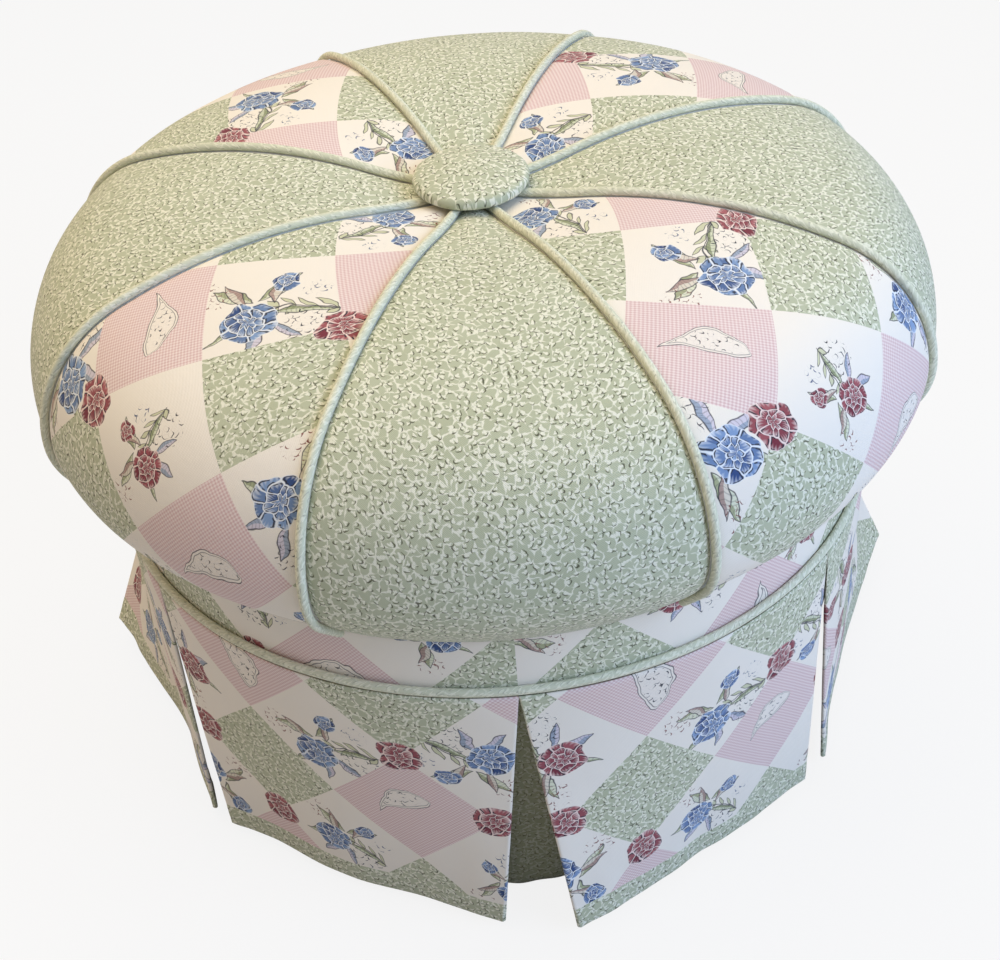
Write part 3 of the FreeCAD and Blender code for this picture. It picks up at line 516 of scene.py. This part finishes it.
def build_inserts():
    """Plain green backing behind each pleat, hanging in slack waves."""
    pieces = []
    for number in range(PLEATS):
        centre = 360 * number / PLEATS + PLEAT_SHIFTS.get(number + 1, 0.0)
        rows, cloth = [], []
        for row_index in range(INSERT_ROWS + 1):
            rise = 1 - row_index / INSERT_ROWS
            height = HEM + (SKIRT_TOP - HEM) * rise
            radius = INSERT_HEM_RADIUS + (INSERT_TOP_RADIUS - INSERT_HEM_RADIUS) * rise
            spread = INSERT_HEM_SPREAD + (INSERT_TOP_SPREAD - INSERT_HEM_SPREAD) * rise
            row, flat = [], []
            for column in range(INSERT_COLUMNS + 1):
                share = 2 * column / INSERT_COLUMNS - 1
                wave = 0.004 * (1 - rise) * cloth_noise(share * 2.2 + number * 6.3, rise * 1.2, 2.0)
                wave -= 0.003 * (1 - rise) * share ** 2
                sag = 0.0035 * (1 - rise) * (share ** 2 - 0.2) + 0.001 * cloth_noise(share * 2, number * 3.0)
                azimuth = centre + spread / 2 * share
                row.append(round_place(radius + wave, azimuth, height + max(0.0, sag * (1 - rise))))
                flat.append((math.radians(spread / 2 * share) * radius, height))
            rows.append(row)
            cloth.append(flat)
        piece = skin(f"pleat_cloth_{number + 1}", rows, cloth)
        soften(piece)
        thicken(piece, SKIRT_CLOTH, shell=1)
        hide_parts(f"pleat_insert_{number + 1}")
        pieces.append(piece)
    return pieces


# Materials

def tone(text):
    """Linear colour of an sRGB hex value."""
    parts = [int(text[place:place + 2], 16) / 255 for place in (1, 3, 5)]
    return (*[part / 12.92 if part <= 0.04045 else ((part + 0.055) / 1.055) ** 2.4 for part in parts], 1)


def add(tree, kind, *values, named=None, **settings):
    """Add a node with its settings; values fill its live inputs in order, and named ones by their names."""
    node = tree.nodes.new(kind)
    for key, value in settings.items():
        setattr(node, key, value)
    live = [socket for socket in node.inputs if socket.enabled]
    pairs = list(zip(live, values)) + [(node.inputs[key], value) for key, value in (named or {}).items()]
    for socket, value in pairs:
        if isinstance(value, bpy.types.Node):
            value = next(output for output in value.outputs if output.enabled)
        if isinstance(value, bpy.types.NodeSocket):
            tree.links.new(value, socket)
        else:
            socket.default_value = value
    return node


MATH, VECTOR, MIX = "ShaderNodeMath", "ShaderNodeVectorMath", "ShaderNodeMix"
RANGE, NOISE, CELLS = "ShaderNodeMapRange", "ShaderNodeTexNoise", "ShaderNodeTexVoronoi"
COMBINE, SEPARATE, ROTATE = "ShaderNodeCombineXYZ", "ShaderNodeSeparateXYZ", "ShaderNodeVectorRotate"
MILLIMETRES = 1000.0  # in a metre
THREADS = 0.0013
THREAD_DEPTH = 0.0004
PATCH = 80.0  # side of a printed patch, in millimetres like the five below
CHECK = 2.1
LINE_CELL = 6.0
BUD_CELL = 4.8
CRESCENT = 1.62
WANDER = (7.0, 7.0, 0.0)


def blank(name):
    """New material with an empty tree, and that tree."""
    made = bpy.data.materials.new(name)
    made.use_nodes = True
    made.node_tree.nodes.clear()
    return made, made.node_tree


def finish_cloth(tree, colour, roughness, sheen):
    """Woven cotton surface under a colour: soft sheen and a bump of crossing threads."""
    flat = add(tree, "ShaderNodeUVMap", uv_map="Cloth")
    turned = add(tree, VECTOR, flat, named={"Scale": 2 * math.pi / THREADS}, operation="SCALE")
    parts = add(tree, SEPARATE, turned)
    warp = add(tree, MATH, parts.outputs[0], operation="SINE")
    weft = add(tree, MATH, parts.outputs[1], operation="SINE")
    weave = add(tree, MATH, warp, weft, operation="MULTIPLY")
    slubs = add(tree, NOISE, flat, named={"Scale": 160.0, "Detail": 3.0})
    height = add(tree, MATH, weave, 0.35, slubs, operation="MULTIPLY_ADD")
    bump = add(tree, "ShaderNodeBump", named={"Strength": 0.35, "Distance": THREAD_DEPTH, "Height": height})
    shader = add(tree, "ShaderNodeBsdfPrincipled", named={
        "Base Color": colour, "Roughness": roughness, "Normal": bump, "Sheen Weight": sheen,
        "Sheen Roughness": 0.5, "Specular IOR Level": 0.25})
    add(tree, "ShaderNodeOutputMaterial", shader)


def vermicelli_group():
    """Print of wandering cream lines on sage green with small dark crescents, from the flat place."""
    tree = bpy.data.node_groups.new("Vermicelli print", "ShaderNodeTree")
    tree.interface.new_socket("Cloth", in_out="INPUT", socket_type="NodeSocketVector")
    tree.interface.new_socket("Colour", in_out="OUTPUT", socket_type="NodeSocketColor")
    tree.interface.new_socket("Ink", in_out="OUTPUT", socket_type="NodeSocketFloat")
    entry = add(tree, "NodeGroupInput")
    flat = add(tree, VECTOR, entry.outputs[0], named={"Scale": MILLIMETRES}, operation="SCALE")
    stir = add(tree, NOISE, flat, named={"Scale": 0.17, "Detail": 1.0}, noise_dimensions="2D")
    drift = add(tree, VECTOR, stir.outputs["Color"], (0.5, 0.5, 0.5), operation="SUBTRACT")
    bent = add(tree, VECTOR, drift, (3.6, 3.6, 0.0), flat, operation="MULTIPLY_ADD")
    # Wandering lines, swollen and broken at random
    net = add(tree, CELLS, bent, named={"Scale": 1 / LINE_CELL}, feature="DISTANCE_TO_EDGE",
              voronoi_dimensions="2D")
    gap = add(tree, MATH, net.outputs["Distance"], LINE_CELL, operation="MULTIPLY")
    swell = add(tree, NOISE, flat, named={"Scale": 0.25, "Detail": 0.0}, noise_dimensions="2D")
    width = add(tree, MATH, swell.outputs["Fac"], 1.7, -0.52, operation="MULTIPLY_ADD")
    line = add(tree, RANGE, gap, add(tree, MATH, width, 0.25, operation="SUBTRACT"),
               add(tree, MATH, width, 0.25, operation="ADD"), 1.0, 0.0)
    # In each small cell a three-lobed cream bud, with a thin dark crescent on its shaded side
    buds = add(tree, CELLS, bent, named={"Scale": 1 / BUD_CELL, "Randomness": 0.85}, feature="F1",
               voronoi_dimensions="2D")
    local = add(tree, VECTOR, bent, buds.outputs["Position"], operation="SUBTRACT")
    reach = add(tree, VECTOR, local, operation="LENGTH")
    chance = add(tree, "ShaderNodeSeparateColor", buds.outputs["Color"])
    parts = add(tree, SEPARATE, local)
    around = add(tree, MATH, parts.outputs[1], parts.outputs[0], operation="ARCTAN2")
    turned = add(tree, MATH, add(tree, MATH, around, 3.0, operation="MULTIPLY"),
                 add(tree, MATH, chance.outputs[1], 6.0, operation="MULTIPLY"), operation="ADD")
    lobes = add(tree, MATH, add(tree, MATH, turned, operation="COSINE"), 0.38, 1.0, operation="MULTIPLY_ADD")
    grown = add(tree, MATH, lobes, add(tree, MATH, chance.outputs[2], 0.4, 0.8, operation="MULTIPLY_ADD"),
                operation="MULTIPLY")
    bud_edge = add(tree, MATH, reach, grown, operation="SUBTRACT")
    bud = add(tree, RANGE, bud_edge, -0.22, 0.22, 1.0, 0.0)
    angle = add(tree, MATH, chance.outputs[0], 3.6, -2.9, operation="MULTIPLY_ADD")
    heading = add(tree, COMBINE, add(tree, MATH, angle, operation="COSINE"),
                  add(tree, MATH, angle, operation="SINE"), 0.0)
    outward = add(tree, VECTOR, local, operation="NORMALIZE")
    facing = add(tree, VECTOR, outward, heading, operation="DOT_PRODUCT")
    facing = add(tree, MATH, facing, -0.2, operation="ADD", use_clamp=True)
    dark_gap = add(tree, MATH, add(tree, MATH, reach, CRESCENT, operation="SUBTRACT"), operation="ABSOLUTE")
    dark_width = add(tree, MATH, facing, 0.5, operation="MULTIPLY")
    ink = add(tree, RANGE, add(tree, MATH, dark_gap, dark_width, operation="SUBTRACT"),
              -0.2, 0.1, 1.0, 0.0)
    cream = add(tree, MATH, line, bud, operation="MAXIMUM")
    mottle = add(tree, NOISE, flat, named={"Scale": 0.02, "Detail": 2.0}, noise_dimensions="2D")
    ground = add(tree, MIX, mottle.outputs["Fac"], tone("#ADB295"), tone("#BABFA5"), data_type="RGBA")
    lined = add(tree, MIX, add(tree, MATH, cream, 0.92, operation="MULTIPLY"), ground, tone("#E4E4D2"),
                data_type="RGBA")
    inked = add(tree, MIX, add(tree, MATH, ink, 0.88, operation="MULTIPLY"), lined, tone("#45452F"),
                data_type="RGBA")
    add(tree, "NodeGroupOutput", inked, ink)
    return tree


vermicelli = vermicelli_group()


def green_cotton(name, painted_light_tone, share, roughness=0.88):
    """Quilting cotton, plain weave, screen printed: matt sage, busy cream scroll, under a share of a flat
    tone: pale for a painted highlight, dark for a painted shade.
    """
    made, tree = blank(name)
    flat = add(tree, "ShaderNodeUVMap", uv_map="Cloth")
    printed = add(tree, "ShaderNodeGroup", flat, node_tree=vermicelli)
    # Flat tone over the print: a pale one is a painted highlight on the cords, a dark one is painted shade
    # in the pleats
    painted_light_mixed = add(tree, MIX, share, printed.outputs["Colour"], tone(painted_light_tone), data_type="RGBA")
    finish_cloth(tree, painted_light_mixed, roughness, 0.12)
    return made


def leaf(tree, spot, base, angle, length, width, fullness=1.0):
    """Leaf shape on a drawing in millimetres: depth inside its edge, run along it, and side of its vein."""
    shifted = add(tree, VECTOR, spot, (*base, 0.0), operation="SUBTRACT")
    turned = add(tree, ROTATE, shifted, named={"Angle": -angle}, rotation_type="Z_AXIS")
    parts = add(tree, SEPARATE, turned)
    along = add(tree, MATH, parts.outputs[0], 1 / length, operation="MULTIPLY", use_clamp=True)
    spread = add(tree, MATH, along, fullness, operation="POWER")
    arch = add(tree, MATH, add(tree, MATH, spread, math.pi, operation="MULTIPLY"), operation="SINE")
    half = add(tree, MATH, arch, width, operation="MULTIPLY")
    side = add(tree, MATH, parts.outputs[1], operation="ABSOLUTE")
    inside = add(tree, MATH, half, side, operation="SUBTRACT")
    middle = add(tree, MATH, parts.outputs[0], length / 2, operation="SUBTRACT")
    past = add(tree, MATH, add(tree, MATH, middle, operation="ABSOLUTE"), length / 2, operation="SUBTRACT")
    depth = add(tree, MATH, inside, add(tree, MATH, past, 0.0, operation="MAXIMUM"), operation="SUBTRACT")
    return depth, along, parts.outputs[1]


def draw(tree, colour, depth, fill, ink, pen):
    """Lay a filled shape with an inked edge over a colour; depth is millimetres inside the edge."""
    body = add(tree, RANGE, depth, -0.2, 0.2, 0.0, 0.9)
    filled = add(tree, MIX, body, colour, fill, data_type="RGBA")
    edge = add(tree, MATH, depth, operation="ABSOLUTE")
    outline_mask = add(tree, RANGE, edge, pen - 0.2, pen + 0.2, 0.9, 0.0)
    return add(tree, MIX, outline_mask, filled, ink, data_type="RGBA")


def flower(tree, colour, spot, centre, radius, petals, deep, mid, pale, ink):
    """Many-petalled flower: rings of petals, streaked from a dark base to a pale tip, with pen strokes."""
    off = add(tree, VECTOR, spot, (*centre, 0.0), operation="SUBTRACT")
    reach = add(tree, VECTOR, off, operation="LENGTH")
    parts = add(tree, SEPARATE, off)
    angle = add(tree, MATH, parts.outputs[1], parts.outputs[0], operation="ARCTAN2")
    around = add(tree, MATH, angle, petals / (2 * math.pi), operation="MULTIPLY")
    ring = add(tree, MATH, reach, 3.4 / radius, operation="MULTIPLY")
    polar = add(tree, COMBINE, around, ring, 0.0)
    cells = add(tree, CELLS, polar, named={"Scale": 1.0, "Randomness": 0.75}, feature="F1",
                voronoi_dimensions="2D")
    edges = add(tree, CELLS, polar, named={"Scale": 1.0, "Randomness": 0.75},
                feature="DISTANCE_TO_EDGE", voronoi_dimensions="2D")
    seat = add(tree, SEPARATE, cells.outputs["Position"])
    lot = add(tree, "ShaderNodeSeparateColor", cells.outputs["Color"])
    ragged = add(tree, MATH, lot.outputs[1], 0.9, 2.35, operation="MULTIPLY_ADD")
    inside = add(tree, MATH, seat.outputs[1], ragged, operation="LESS_THAN")
    tip = add(tree, MATH, ring, seat.outputs[1], operation="SUBTRACT")
    base = add(tree, MIX, lot.outputs[0], deep, mid, data_type="RGBA")
    comb = add(tree, MATH, add(tree, MATH, angle, petals * 4.0, operation="MULTIPLY"), operation="SINE")
    streak = add(tree, RANGE, add(tree, MATH, comb, 0.16, tip, operation="MULTIPLY_ADD"),
                 0.0, 0.6, 0.0, 0.7)
    petal = add(tree, MIX, streak, base, pale, data_type="RGBA")
    gap = add(tree, RANGE, edges.outputs["Distance"], 0.03, 0.09, 1.0, 0.0)
    parted = add(tree, MIX, gap, petal, pale, data_type="RGBA")
    pressed = add(tree, NOISE, spot, named={"Scale": 0.35, "Detail": 0.0}, noise_dimensions="2D")
    rim = add(tree, MATH, add(tree, MATH, edges.outputs["Distance"], 0.12, operation="SUBTRACT"),
              operation="ABSOLUTE")
    pen = add(tree, MATH, add(tree, RANGE, rim, 0.03, 0.07, 0.95, 0.0),
              add(tree, MATH, pressed.outputs["Fac"], 0.47, operation="GREATER_THAN"), operation="MULTIPLY")
    drawn = add(tree, MIX, pen, parted, ink, data_type="RGBA")
    return add(tree, MIX, inside, colour, drawn, data_type="RGBA")


def patchwork_cotton():
    """Quilting cotton printed as patchwork: green scroll, cream with sketched flowers, fine rose gingham."""
    made, tree = blank("Printed cotton, patchwork")
    flat = add(tree, "ShaderNodeUVMap", uv_map="Cloth")
    printed = add(tree, "ShaderNodeGroup", flat, node_tree=vermicelli)
    wide = add(tree, VECTOR, flat, named={"Scale": MILLIMETRES}, operation="SCALE")
    turned = add(tree, ROTATE, wide, named={"Angle": math.pi / 4}, rotation_type="Z_AXIS")
    grid = add(tree, VECTOR, turned, named={"Scale": 1 / PATCH}, operation="SCALE")
    cell = add(tree, VECTOR, grid, operation="FLOOR")
    cell_parts = add(tree, SEPARATE, cell)
    odd_across = add(tree, MATH, cell_parts.outputs[0], 2.0, operation="FLOORED_MODULO")
    odd_up = add(tree, MATH, cell_parts.outputs[1], 2.0, operation="FLOORED_MODULO")
    chance = add(tree, "ShaderNodeTexWhiteNoise", cell, noise_dimensions="2D")
    chances = add(tree, "ShaderNodeSeparateColor", chance.outputs["Color"])
    # Each patch has its own drawing, turned, shifted and sized by chance, and drawn with an unsteady hand
    within = add(tree, VECTOR, grid, operation="FRACTION")
    inner = add(tree, VECTOR, within, (0.5, 0.5, 0.0), operation="SUBTRACT")
    local = add(tree, VECTOR, inner, named={"Scale": PATCH}, operation="SCALE")
    heading = add(tree, MATH, chances.outputs[0], 2 * math.pi, operation="MULTIPLY")
    spun = add(tree, ROTATE, local, named={"Angle": heading}, rotation_type="Z_AXIS")
    stray = add(tree, VECTOR, chance.outputs["Color"], (0.5, 0.5, 0.0), operation="SUBTRACT")
    placed = add(tree, VECTOR, stray, (20.0, 20.0, 0.0), spun, operation="MULTIPLY_ADD")
    size = add(tree, MATH, chances.outputs[2], 0.5, 0.85, operation="MULTIPLY_ADD")
    sized = add(tree, VECTOR, placed, named={"Scale": size}, operation="SCALE")
    hand = add(tree, NOISE, wide, named={"Scale": 0.07, "Detail": 1.5}, noise_dimensions="2D")
    tremor = add(tree, VECTOR, hand.outputs["Color"], (0.5, 0.5, 0.5), operation="SUBTRACT")
    spot = add(tree, VECTOR, tremor, WANDER, sized, operation="MULTIPLY_ADD")
    cream, ink = tone("#E9E3D7"), tone("#2E2F38")
    # A cream patch: stalk with paired leaves, four pairs of large leaves, pen strokes and two flowers
    parts = add(tree, SEPARATE, spot)
    bow = add(tree, MATH, parts.outputs[0], parts.outputs[0], operation="MULTIPLY")
    sagged = add(tree, MATH, bow, -0.011, parts.outputs[1], operation="MULTIPLY_ADD")
    mirrored = add(tree, MATH, sagged, operation="ABSOLUTE")
    stepped = add(tree, MATH, parts.outputs[0], 9.0, operation="FLOORED_MODULO")
    on_spray = add(tree, MATH, add(tree, MATH, parts.outputs[0], -37.0, operation="GREATER_THAN"),
                   add(tree, MATH, parts.outputs[0], -4.0, operation="LESS_THAN"), operation="MULTIPLY")
    off_spray = add(tree, MATH, on_spray, -9.0, 9.0, operation="MULTIPLY_ADD")
    spray_spot = add(tree, COMBINE, stepped, mirrored, 0.0)
    depth, along, side = leaf(tree, spray_spot, (0.0, 0.0), 0.8, 10.5, 1.7)
    depth = add(tree, MATH, depth, off_spray, operation="SUBTRACT")
    colour = draw(tree, cream, depth, tone("#C3C5A2"), ink, 0.3)
    off_stem = add(tree, MATH, mirrored, off_spray, operation="ADD")
    stem = add(tree, RANGE, off_stem, 0.25, 0.6, 0.9, 0.0)
    colour = add(tree, MIX, stem, colour, ink, data_type="RGBA")
    low_spot = add(tree, COMBINE, add(tree, MATH, parts.outputs[0], operation="ABSOLUTE"),
                   parts.outputs[1], 0.0)
    for base, angle, length, width, light, shade in (
            ((1.0, -9.0), -0.55, 29.0, 4.2, "#D3D6BC", "#9BA27A"),
            ((2.0, 10.0), 1.05, 24.0, 3.2, "#C9C3D0", "#8E9DB2"),
            ((6.0, -4.0), -1.15, 26.0, 3.0, "#D8CFC0", "#A98E86"),
            ((5.0, 3.0), 0.35, 31.0, 2.6, "#CBD0B4", "#8C9670")):
        depth, along, side = leaf(tree, low_spot, base, angle, length, width)
        veins = add(tree, MATH, add(tree, MATH, along, 60.0, operation="MULTIPLY"),
                    add(tree, MATH, side, operation="ABSOLUTE"), operation="SUBTRACT")
        veins = add(tree, RANGE, add(tree, MATH, veins, operation="SINE"), 0.5, 0.9, 0.0, 0.35)
        upper = add(tree, MATH, side, 0.0, operation="GREATER_THAN")
        halves = add(tree, MIX, upper, tone(shade), tone(light), data_type="RGBA")
        filled = add(tree, MIX, veins, halves, ink, data_type="RGBA")
        colour = draw(tree, colour, depth, filled, ink, 0.3)
    for place, spread, hue in (((-19.0, 21.0, 0.0), 14.0, ink), ((25.0, -22.0, 0.0), 11.0, tone("#7C4A42")),
                               ((-31.0, -8.0, 0.0), 8.0, tone("#3F5173"))):
        away = add(tree, VECTOR, spot, place, operation="DISTANCE")
        near = add(tree, MATH, away, spread, operation="LESS_THAN")
        twigs = add(tree, MATH, printed.outputs["Ink"], near, operation="MULTIPLY")
        colour = add(tree, MIX, twigs, colour, hue, data_type="RGBA")
    red = add(tree, MATH, chances.outputs[1], 0.5, operation="GREATER_THAN")
    deep = add(tree, MIX, red, tone("#2F4778"), tone("#742F3C"), data_type="RGBA")
    mid = add(tree, MIX, red, tone("#7E99BE"), tone("#9C555C"), data_type="RGBA")
    pale = add(tree, MIX, red, tone("#DDE2E6"), tone("#E6D3CB"), data_type="RGBA")
    colour = flower(tree, colour, spot, (9.0, 6.0), 18.0, 9, deep, mid, pale, ink)
    colour = flower(tree, colour, spot, (-16.0, -20.0), 9.5, 5, mid, deep, pale, ink)
    # A rose gingham patch: pale teardrop with a double outline and rows of pen dashes
    waves = add(tree, VECTOR, turned, named={"Scale": 2 * math.pi / CHECK}, operation="SCALE")
    checks = add(tree, SEPARATE, waves)
    across = add(tree, MATH, checks.outputs[0], operation="SINE")
    upward = add(tree, MATH, checks.outputs[1], operation="SINE")
    crossed = add(tree, MATH, across, upward, operation="ADD")
    rose = add(tree, RANGE, crossed, -1.3, 1.3, 0.0, 1.0)
    gingham = add(tree, MIX, rose, tone("#E6D8D3"), tone("#CFB0AE"), data_type="RGBA")
    bend = add(tree, MATH, bow, -0.014, add(tree, MATH, parts.outputs[1], 6.0, operation="ADD"),
               operation="MULTIPLY_ADD")
    drop_spot = add(tree, COMBINE, parts.outputs[0], bend, 0.0)
    depth, along, side = leaf(tree, drop_spot, (-30.0, 0.0), 0.0, 58.0, 12.5, 0.62)
    drop = draw(tree, gingham, depth, cream, ink, 0.35)
    second = add(tree, MATH, add(tree, MATH, depth, -2.4, operation="ADD"), operation="ABSOLUTE")
    second_line = add(tree, RANGE, second, 0.2, 0.5, 0.7, 0.0)
    drop = add(tree, MIX, second_line, drop, ink, data_type="RGBA")
    spots = add(tree, MATH, printed.outputs["Ink"], add(tree, MATH, depth, 3.2, operation="GREATER_THAN"),
                operation="MULTIPLY")
    drop = add(tree, MIX, spots, drop, ink, data_type="RGBA")
    # Patches side by side
    coloured = add(tree, MIX, odd_across, printed.outputs["Colour"], drop, data_type="RGBA")
    mixed = add(tree, MATH, add(tree, MATH, odd_across, odd_up, operation="SUBTRACT"), operation="ABSOLUTE")
    patched = add(tree, MIX, mixed, coloured, colour, data_type="RGBA")
    # Flowers that straddle some corners
    shifted = add(tree, VECTOR, grid, (0.5, 0.5, 0.0), operation="ADD")
    corner = add(tree, VECTOR, shifted, operation="FLOOR")
    seed = add(tree, VECTOR, corner, (17.0, 5.0, 0.0), operation="ADD")
    luck = add(tree, "ShaderNodeTexWhiteNoise", seed, noise_dimensions="2D")
    within = add(tree, VECTOR, shifted, operation="FRACTION")
    corner_inner = add(tree, VECTOR, within, (0.5, 0.5, 0.0), operation="SUBTRACT")
    corner_local = add(tree, VECTOR, corner_inner, named={"Scale": PATCH}, operation="SCALE")
    corner_spot = add(tree, VECTOR, tremor, WANDER, corner_local, operation="MULTIPLY_ADD")
    strayed = flower(tree, patched, corner_spot, (0.0, 0.0), 18.0, 8, tone("#742F3C"), tone("#A05A5E"),
                     tone("#E6D3CB"), ink)
    lucky = add(tree, MATH, luck.outputs["Value"], 0.74, operation="GREATER_THAN")
    final = add(tree, MIX, lucky, patched, strayed, data_type="RGBA")
    finish_cloth(tree, final, 0.88, 0.1)
    return made


def plain(name, base, second, scale, roughness, metal=0.0, depth=0.0003, stretch=(1, 1, 1)):
    """Plain stuff with its own mottle and a fine bump, patterned on the object's own coordinates."""
    made, tree = blank(name)
    place = add(tree, "ShaderNodeTexCoord").outputs["Object"]
    mapped = add(tree, "ShaderNodeMapping", place, named={"Scale": stretch})
    grain = add(tree, NOISE, mapped, named={"Scale": scale, "Detail": 5.0, "Roughness": 0.6})
    colour = add(tree, MIX, grain.outputs["Fac"], tone(base), tone(second), data_type="RGBA")
    bump = add(tree, "ShaderNodeBump", named={
        "Strength": 0.4, "Distance": depth, "Height": grain.outputs["Fac"]})
    shader = add(tree, "ShaderNodeBsdfPrincipled", named={
        "Base Color": colour, "Roughness": roughness, "Metallic": metal, "Normal": bump})
    add(tree, "ShaderNodeOutputMaterial", shader)
    return made


# Sage cloth with a cream scroll: paler on the cords, which are bias strips, as a painted highlight; duller
# in the pleats as a painted shade
green = green_cotton("Printed cotton, sage scroll", "#B6B99E", 0.0)
# A pale wash over the print on the cords is a painted highlight
bias = green_cotton("Printed cotton, bias cut, painted highlight", "#DEDFC8", 0.55, 0.85)
# A dark olive wash over the print on the pleat backing is painted shade
backing = green_cotton("Printed cotton, backing in painted shade", "#6F6A45", 0.5, 0.92)
patchwork = patchwork_cotton()
# Plain cream calico
lining = plain("Cotton lining, unbleached", "#DDD3BD", "#E6DECB", 700, 0.92)
stuffs = {
    # White fluff, soft and matt
    "batting": plain("Polyester batting, bonded", "#EDEDEA", "#F6F6F4", 260, 0.95, depth=0.001),
    # Pale yellow, with an open cut grain
    "foam": plain("Polyurethane foam, cut", "#E6D9A8", "#EFE5BD", 900, 0.9, depth=0.0006),
    # Warm grey, hairy and dull
    "felt": plain("Felt padding, needled", "#B9B5AA", "#CFCBC0", 800, 0.95),
    # Near black, thin and slightly ribbed
    "cambric": plain("Black cambric, non-woven", "#1C1C1E", "#2A2A2C", 1500, 0.85),
    # Brown pressed board
    "card": plain("Tack strip card, pressed", "#C7B08A", "#D6C19C", 600, 0.85),
    # Straw coloured, with a waxy shine
    "twine": plain("Waxed flax twine, laid", "#D9CFB4", "#EAE1C9", 1800, 0.6),
    # Pale veneer with drawn-out grain
    "plywood": plain("Birch plywood, sanded", "#CFAE7C", "#DDC095", 30, 0.6, stretch=(1, 8, 60)),
    # Warm brown with an upright grain, half glossy
    "beech": plain("Beech, turned and lacquered", "#B98A5B", "#CFA273", 45, 0.45, stretch=(9, 9, 1)),
    # Off-white, smooth, faintly glossy
    "nylon": plain("Nylon glide, moulded", "#E4E2DC", "#ECEAE5", 400, 0.4),
    # Bluish grey metal with a soft sheen
    "zinc_steel": plain("Zinc-plated steel, formed", "#B4B7BA", "#C9CCCF", 300, 0.35, metal=1.0),
}

# Pieces and their finishes

for index, gore in enumerate(build_gores()):
    dress(gore, patchwork if index % 2 else green)
for cord in build_seam_cords() + [build_welt()]:
    dress(cord, bias)
button = build_button()
dress(button, green)
band = build_band()
dress(band, patchwork)
for panel in build_panels():
    dress(panel, patchwork, green, lining, lining)
for insert in build_inserts():
    dress(insert, backing, lining)

STUFF_OF = (
    ("batting", "batting"), ("foam_", "foam"), ("drum_padding", "felt"), ("dust_cover", "cambric"),
    ("tack_strip", "card"), ("tufting_twine", "twine"), ("twine_toggle", "beech"), ("leg_glide", "nylon"),
    ("leg_", "beech"), ("frame_post", "beech"), ("top_board", "plywood"), ("base_ring", "plywood"),
    ("upper_ring", "plywood"), ("drum_wall", "plywood"), ("hanger_bolts", "zinc_steel"),
    ("tee_nuts", "zinc_steel"), ("frame_screws", "zinc_steel"), ("button_mould", "zinc_steel"),
    ("button_back", "zinc_steel"),
)
for name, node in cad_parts.items():
    stuff = next((stuffs[kind] for start, kind in STUFF_OF if name.startswith(start)), None)
    if stuff:
        node.data.materials.clear()
        node.data.materials.append(stuff)

# Floor, lamps and camera

bpy.ops.mesh.primitive_plane_add(size=8, location=(0, 0, 0))
floor = bpy.context.object
floor.name = "studio_floor"
# Plain white paper that still takes a shadow
paper, tree = blank("Studio paper, matt white")
matt = add(tree, "ShaderNodeBsdfDiffuse", (0.62, 0.61, 0.60, 1))
bright = add(tree, "ShaderNodeEmission", (1, 1, 1, 1), 1.0)
ray = add(tree, "ShaderNodeLightPath")
share = add(tree, MATH, ray.outputs["Is Camera Ray"], 0.86, operation="MULTIPLY")
add(tree, "ShaderNodeOutputMaterial", add(tree, "ShaderNodeMixShader", share, matt, bright))
dress(floor, paper)

world = bpy.data.worlds.new("Studio")
bpy.context.scene.world = world
world.use_nodes = True
tree = world.node_tree
tree.nodes.clear()
ray = add(tree, "ShaderNodeLightPath")
seen = add(tree, "ShaderNodeBackground", (1, 1, 1, 1), 1.0)
fill = add(tree, "ShaderNodeBackground", (0.94, 0.96, 1.0, 1), 0.33)
mixed = add(tree, "ShaderNodeMixShader", ray.outputs["Is Camera Ray"], fill, seen)
add(tree, "ShaderNodeOutputWorld", mixed)


def lamp(name, place, target, size, power, colour):
    """Soft square lamp aimed at a point."""
    light = bpy.data.lights.new(name, "AREA")
    light.size = size
    light.energy = power
    light.color = tone(colour)[:3]
    holder = bpy.data.objects.new(name, light)
    holder.location = place
    holder.rotation_euler = (Vector(target) - Vector(place)).to_track_quat("-Z", "Y").to_euler()
    bpy.context.scene.collection.objects.link(holder)


lamp("key_right", (1.9, -1.2, 1.5), (0, 0, 0.2), 1.6, 55, "#BCD6FF")
lamp("fill_left", (-1.8, -0.2, 2.0), (0, 0, 0.35), 1.6, 10, "#FFC470")
lamp("top_soft", (-0.3, 0.5, 2.3), (0, 0, 0.3), 1.8, 33, "#FFEFD0")

CAMERA_PLACE = Vector((0, -1.0272, 1.0204))
PITCH, YAW, ROLL, ORBIT = (math.radians(angle) for angle in (39.127, 0.312, -4.491, -0.7))
ahead = Vector((math.sin(YAW) * math.cos(PITCH), math.cos(YAW) * math.cos(PITCH), -math.sin(PITCH)))
level = Vector((math.cos(YAW), -math.sin(YAW), 0))
upright = level.cross(ahead)
right = math.cos(ROLL) * level + math.sin(ROLL) * upright
top = -math.sin(ROLL) * level + math.cos(ROLL) * upright
stance = Matrix((right, top, -ahead)).transposed().to_4x4()
stance.translation = CAMERA_PLACE
camera_data = bpy.data.cameras.new("camera")
camera_data.sensor_width = 36
camera_data.lens = 63.98
camera_data.shift_x = -0.0034
camera_data.shift_y = 0.0014
camera = bpy.data.objects.new("camera", camera_data)
camera.matrix_world = Matrix.Rotation(ORBIT, 4, "Z") @ stance
bpy.context.scene.collection.objects.link(camera)
bpy.context.scene.camera = camera
bpy.context.scene.view_settings.view_transform = "Standard"
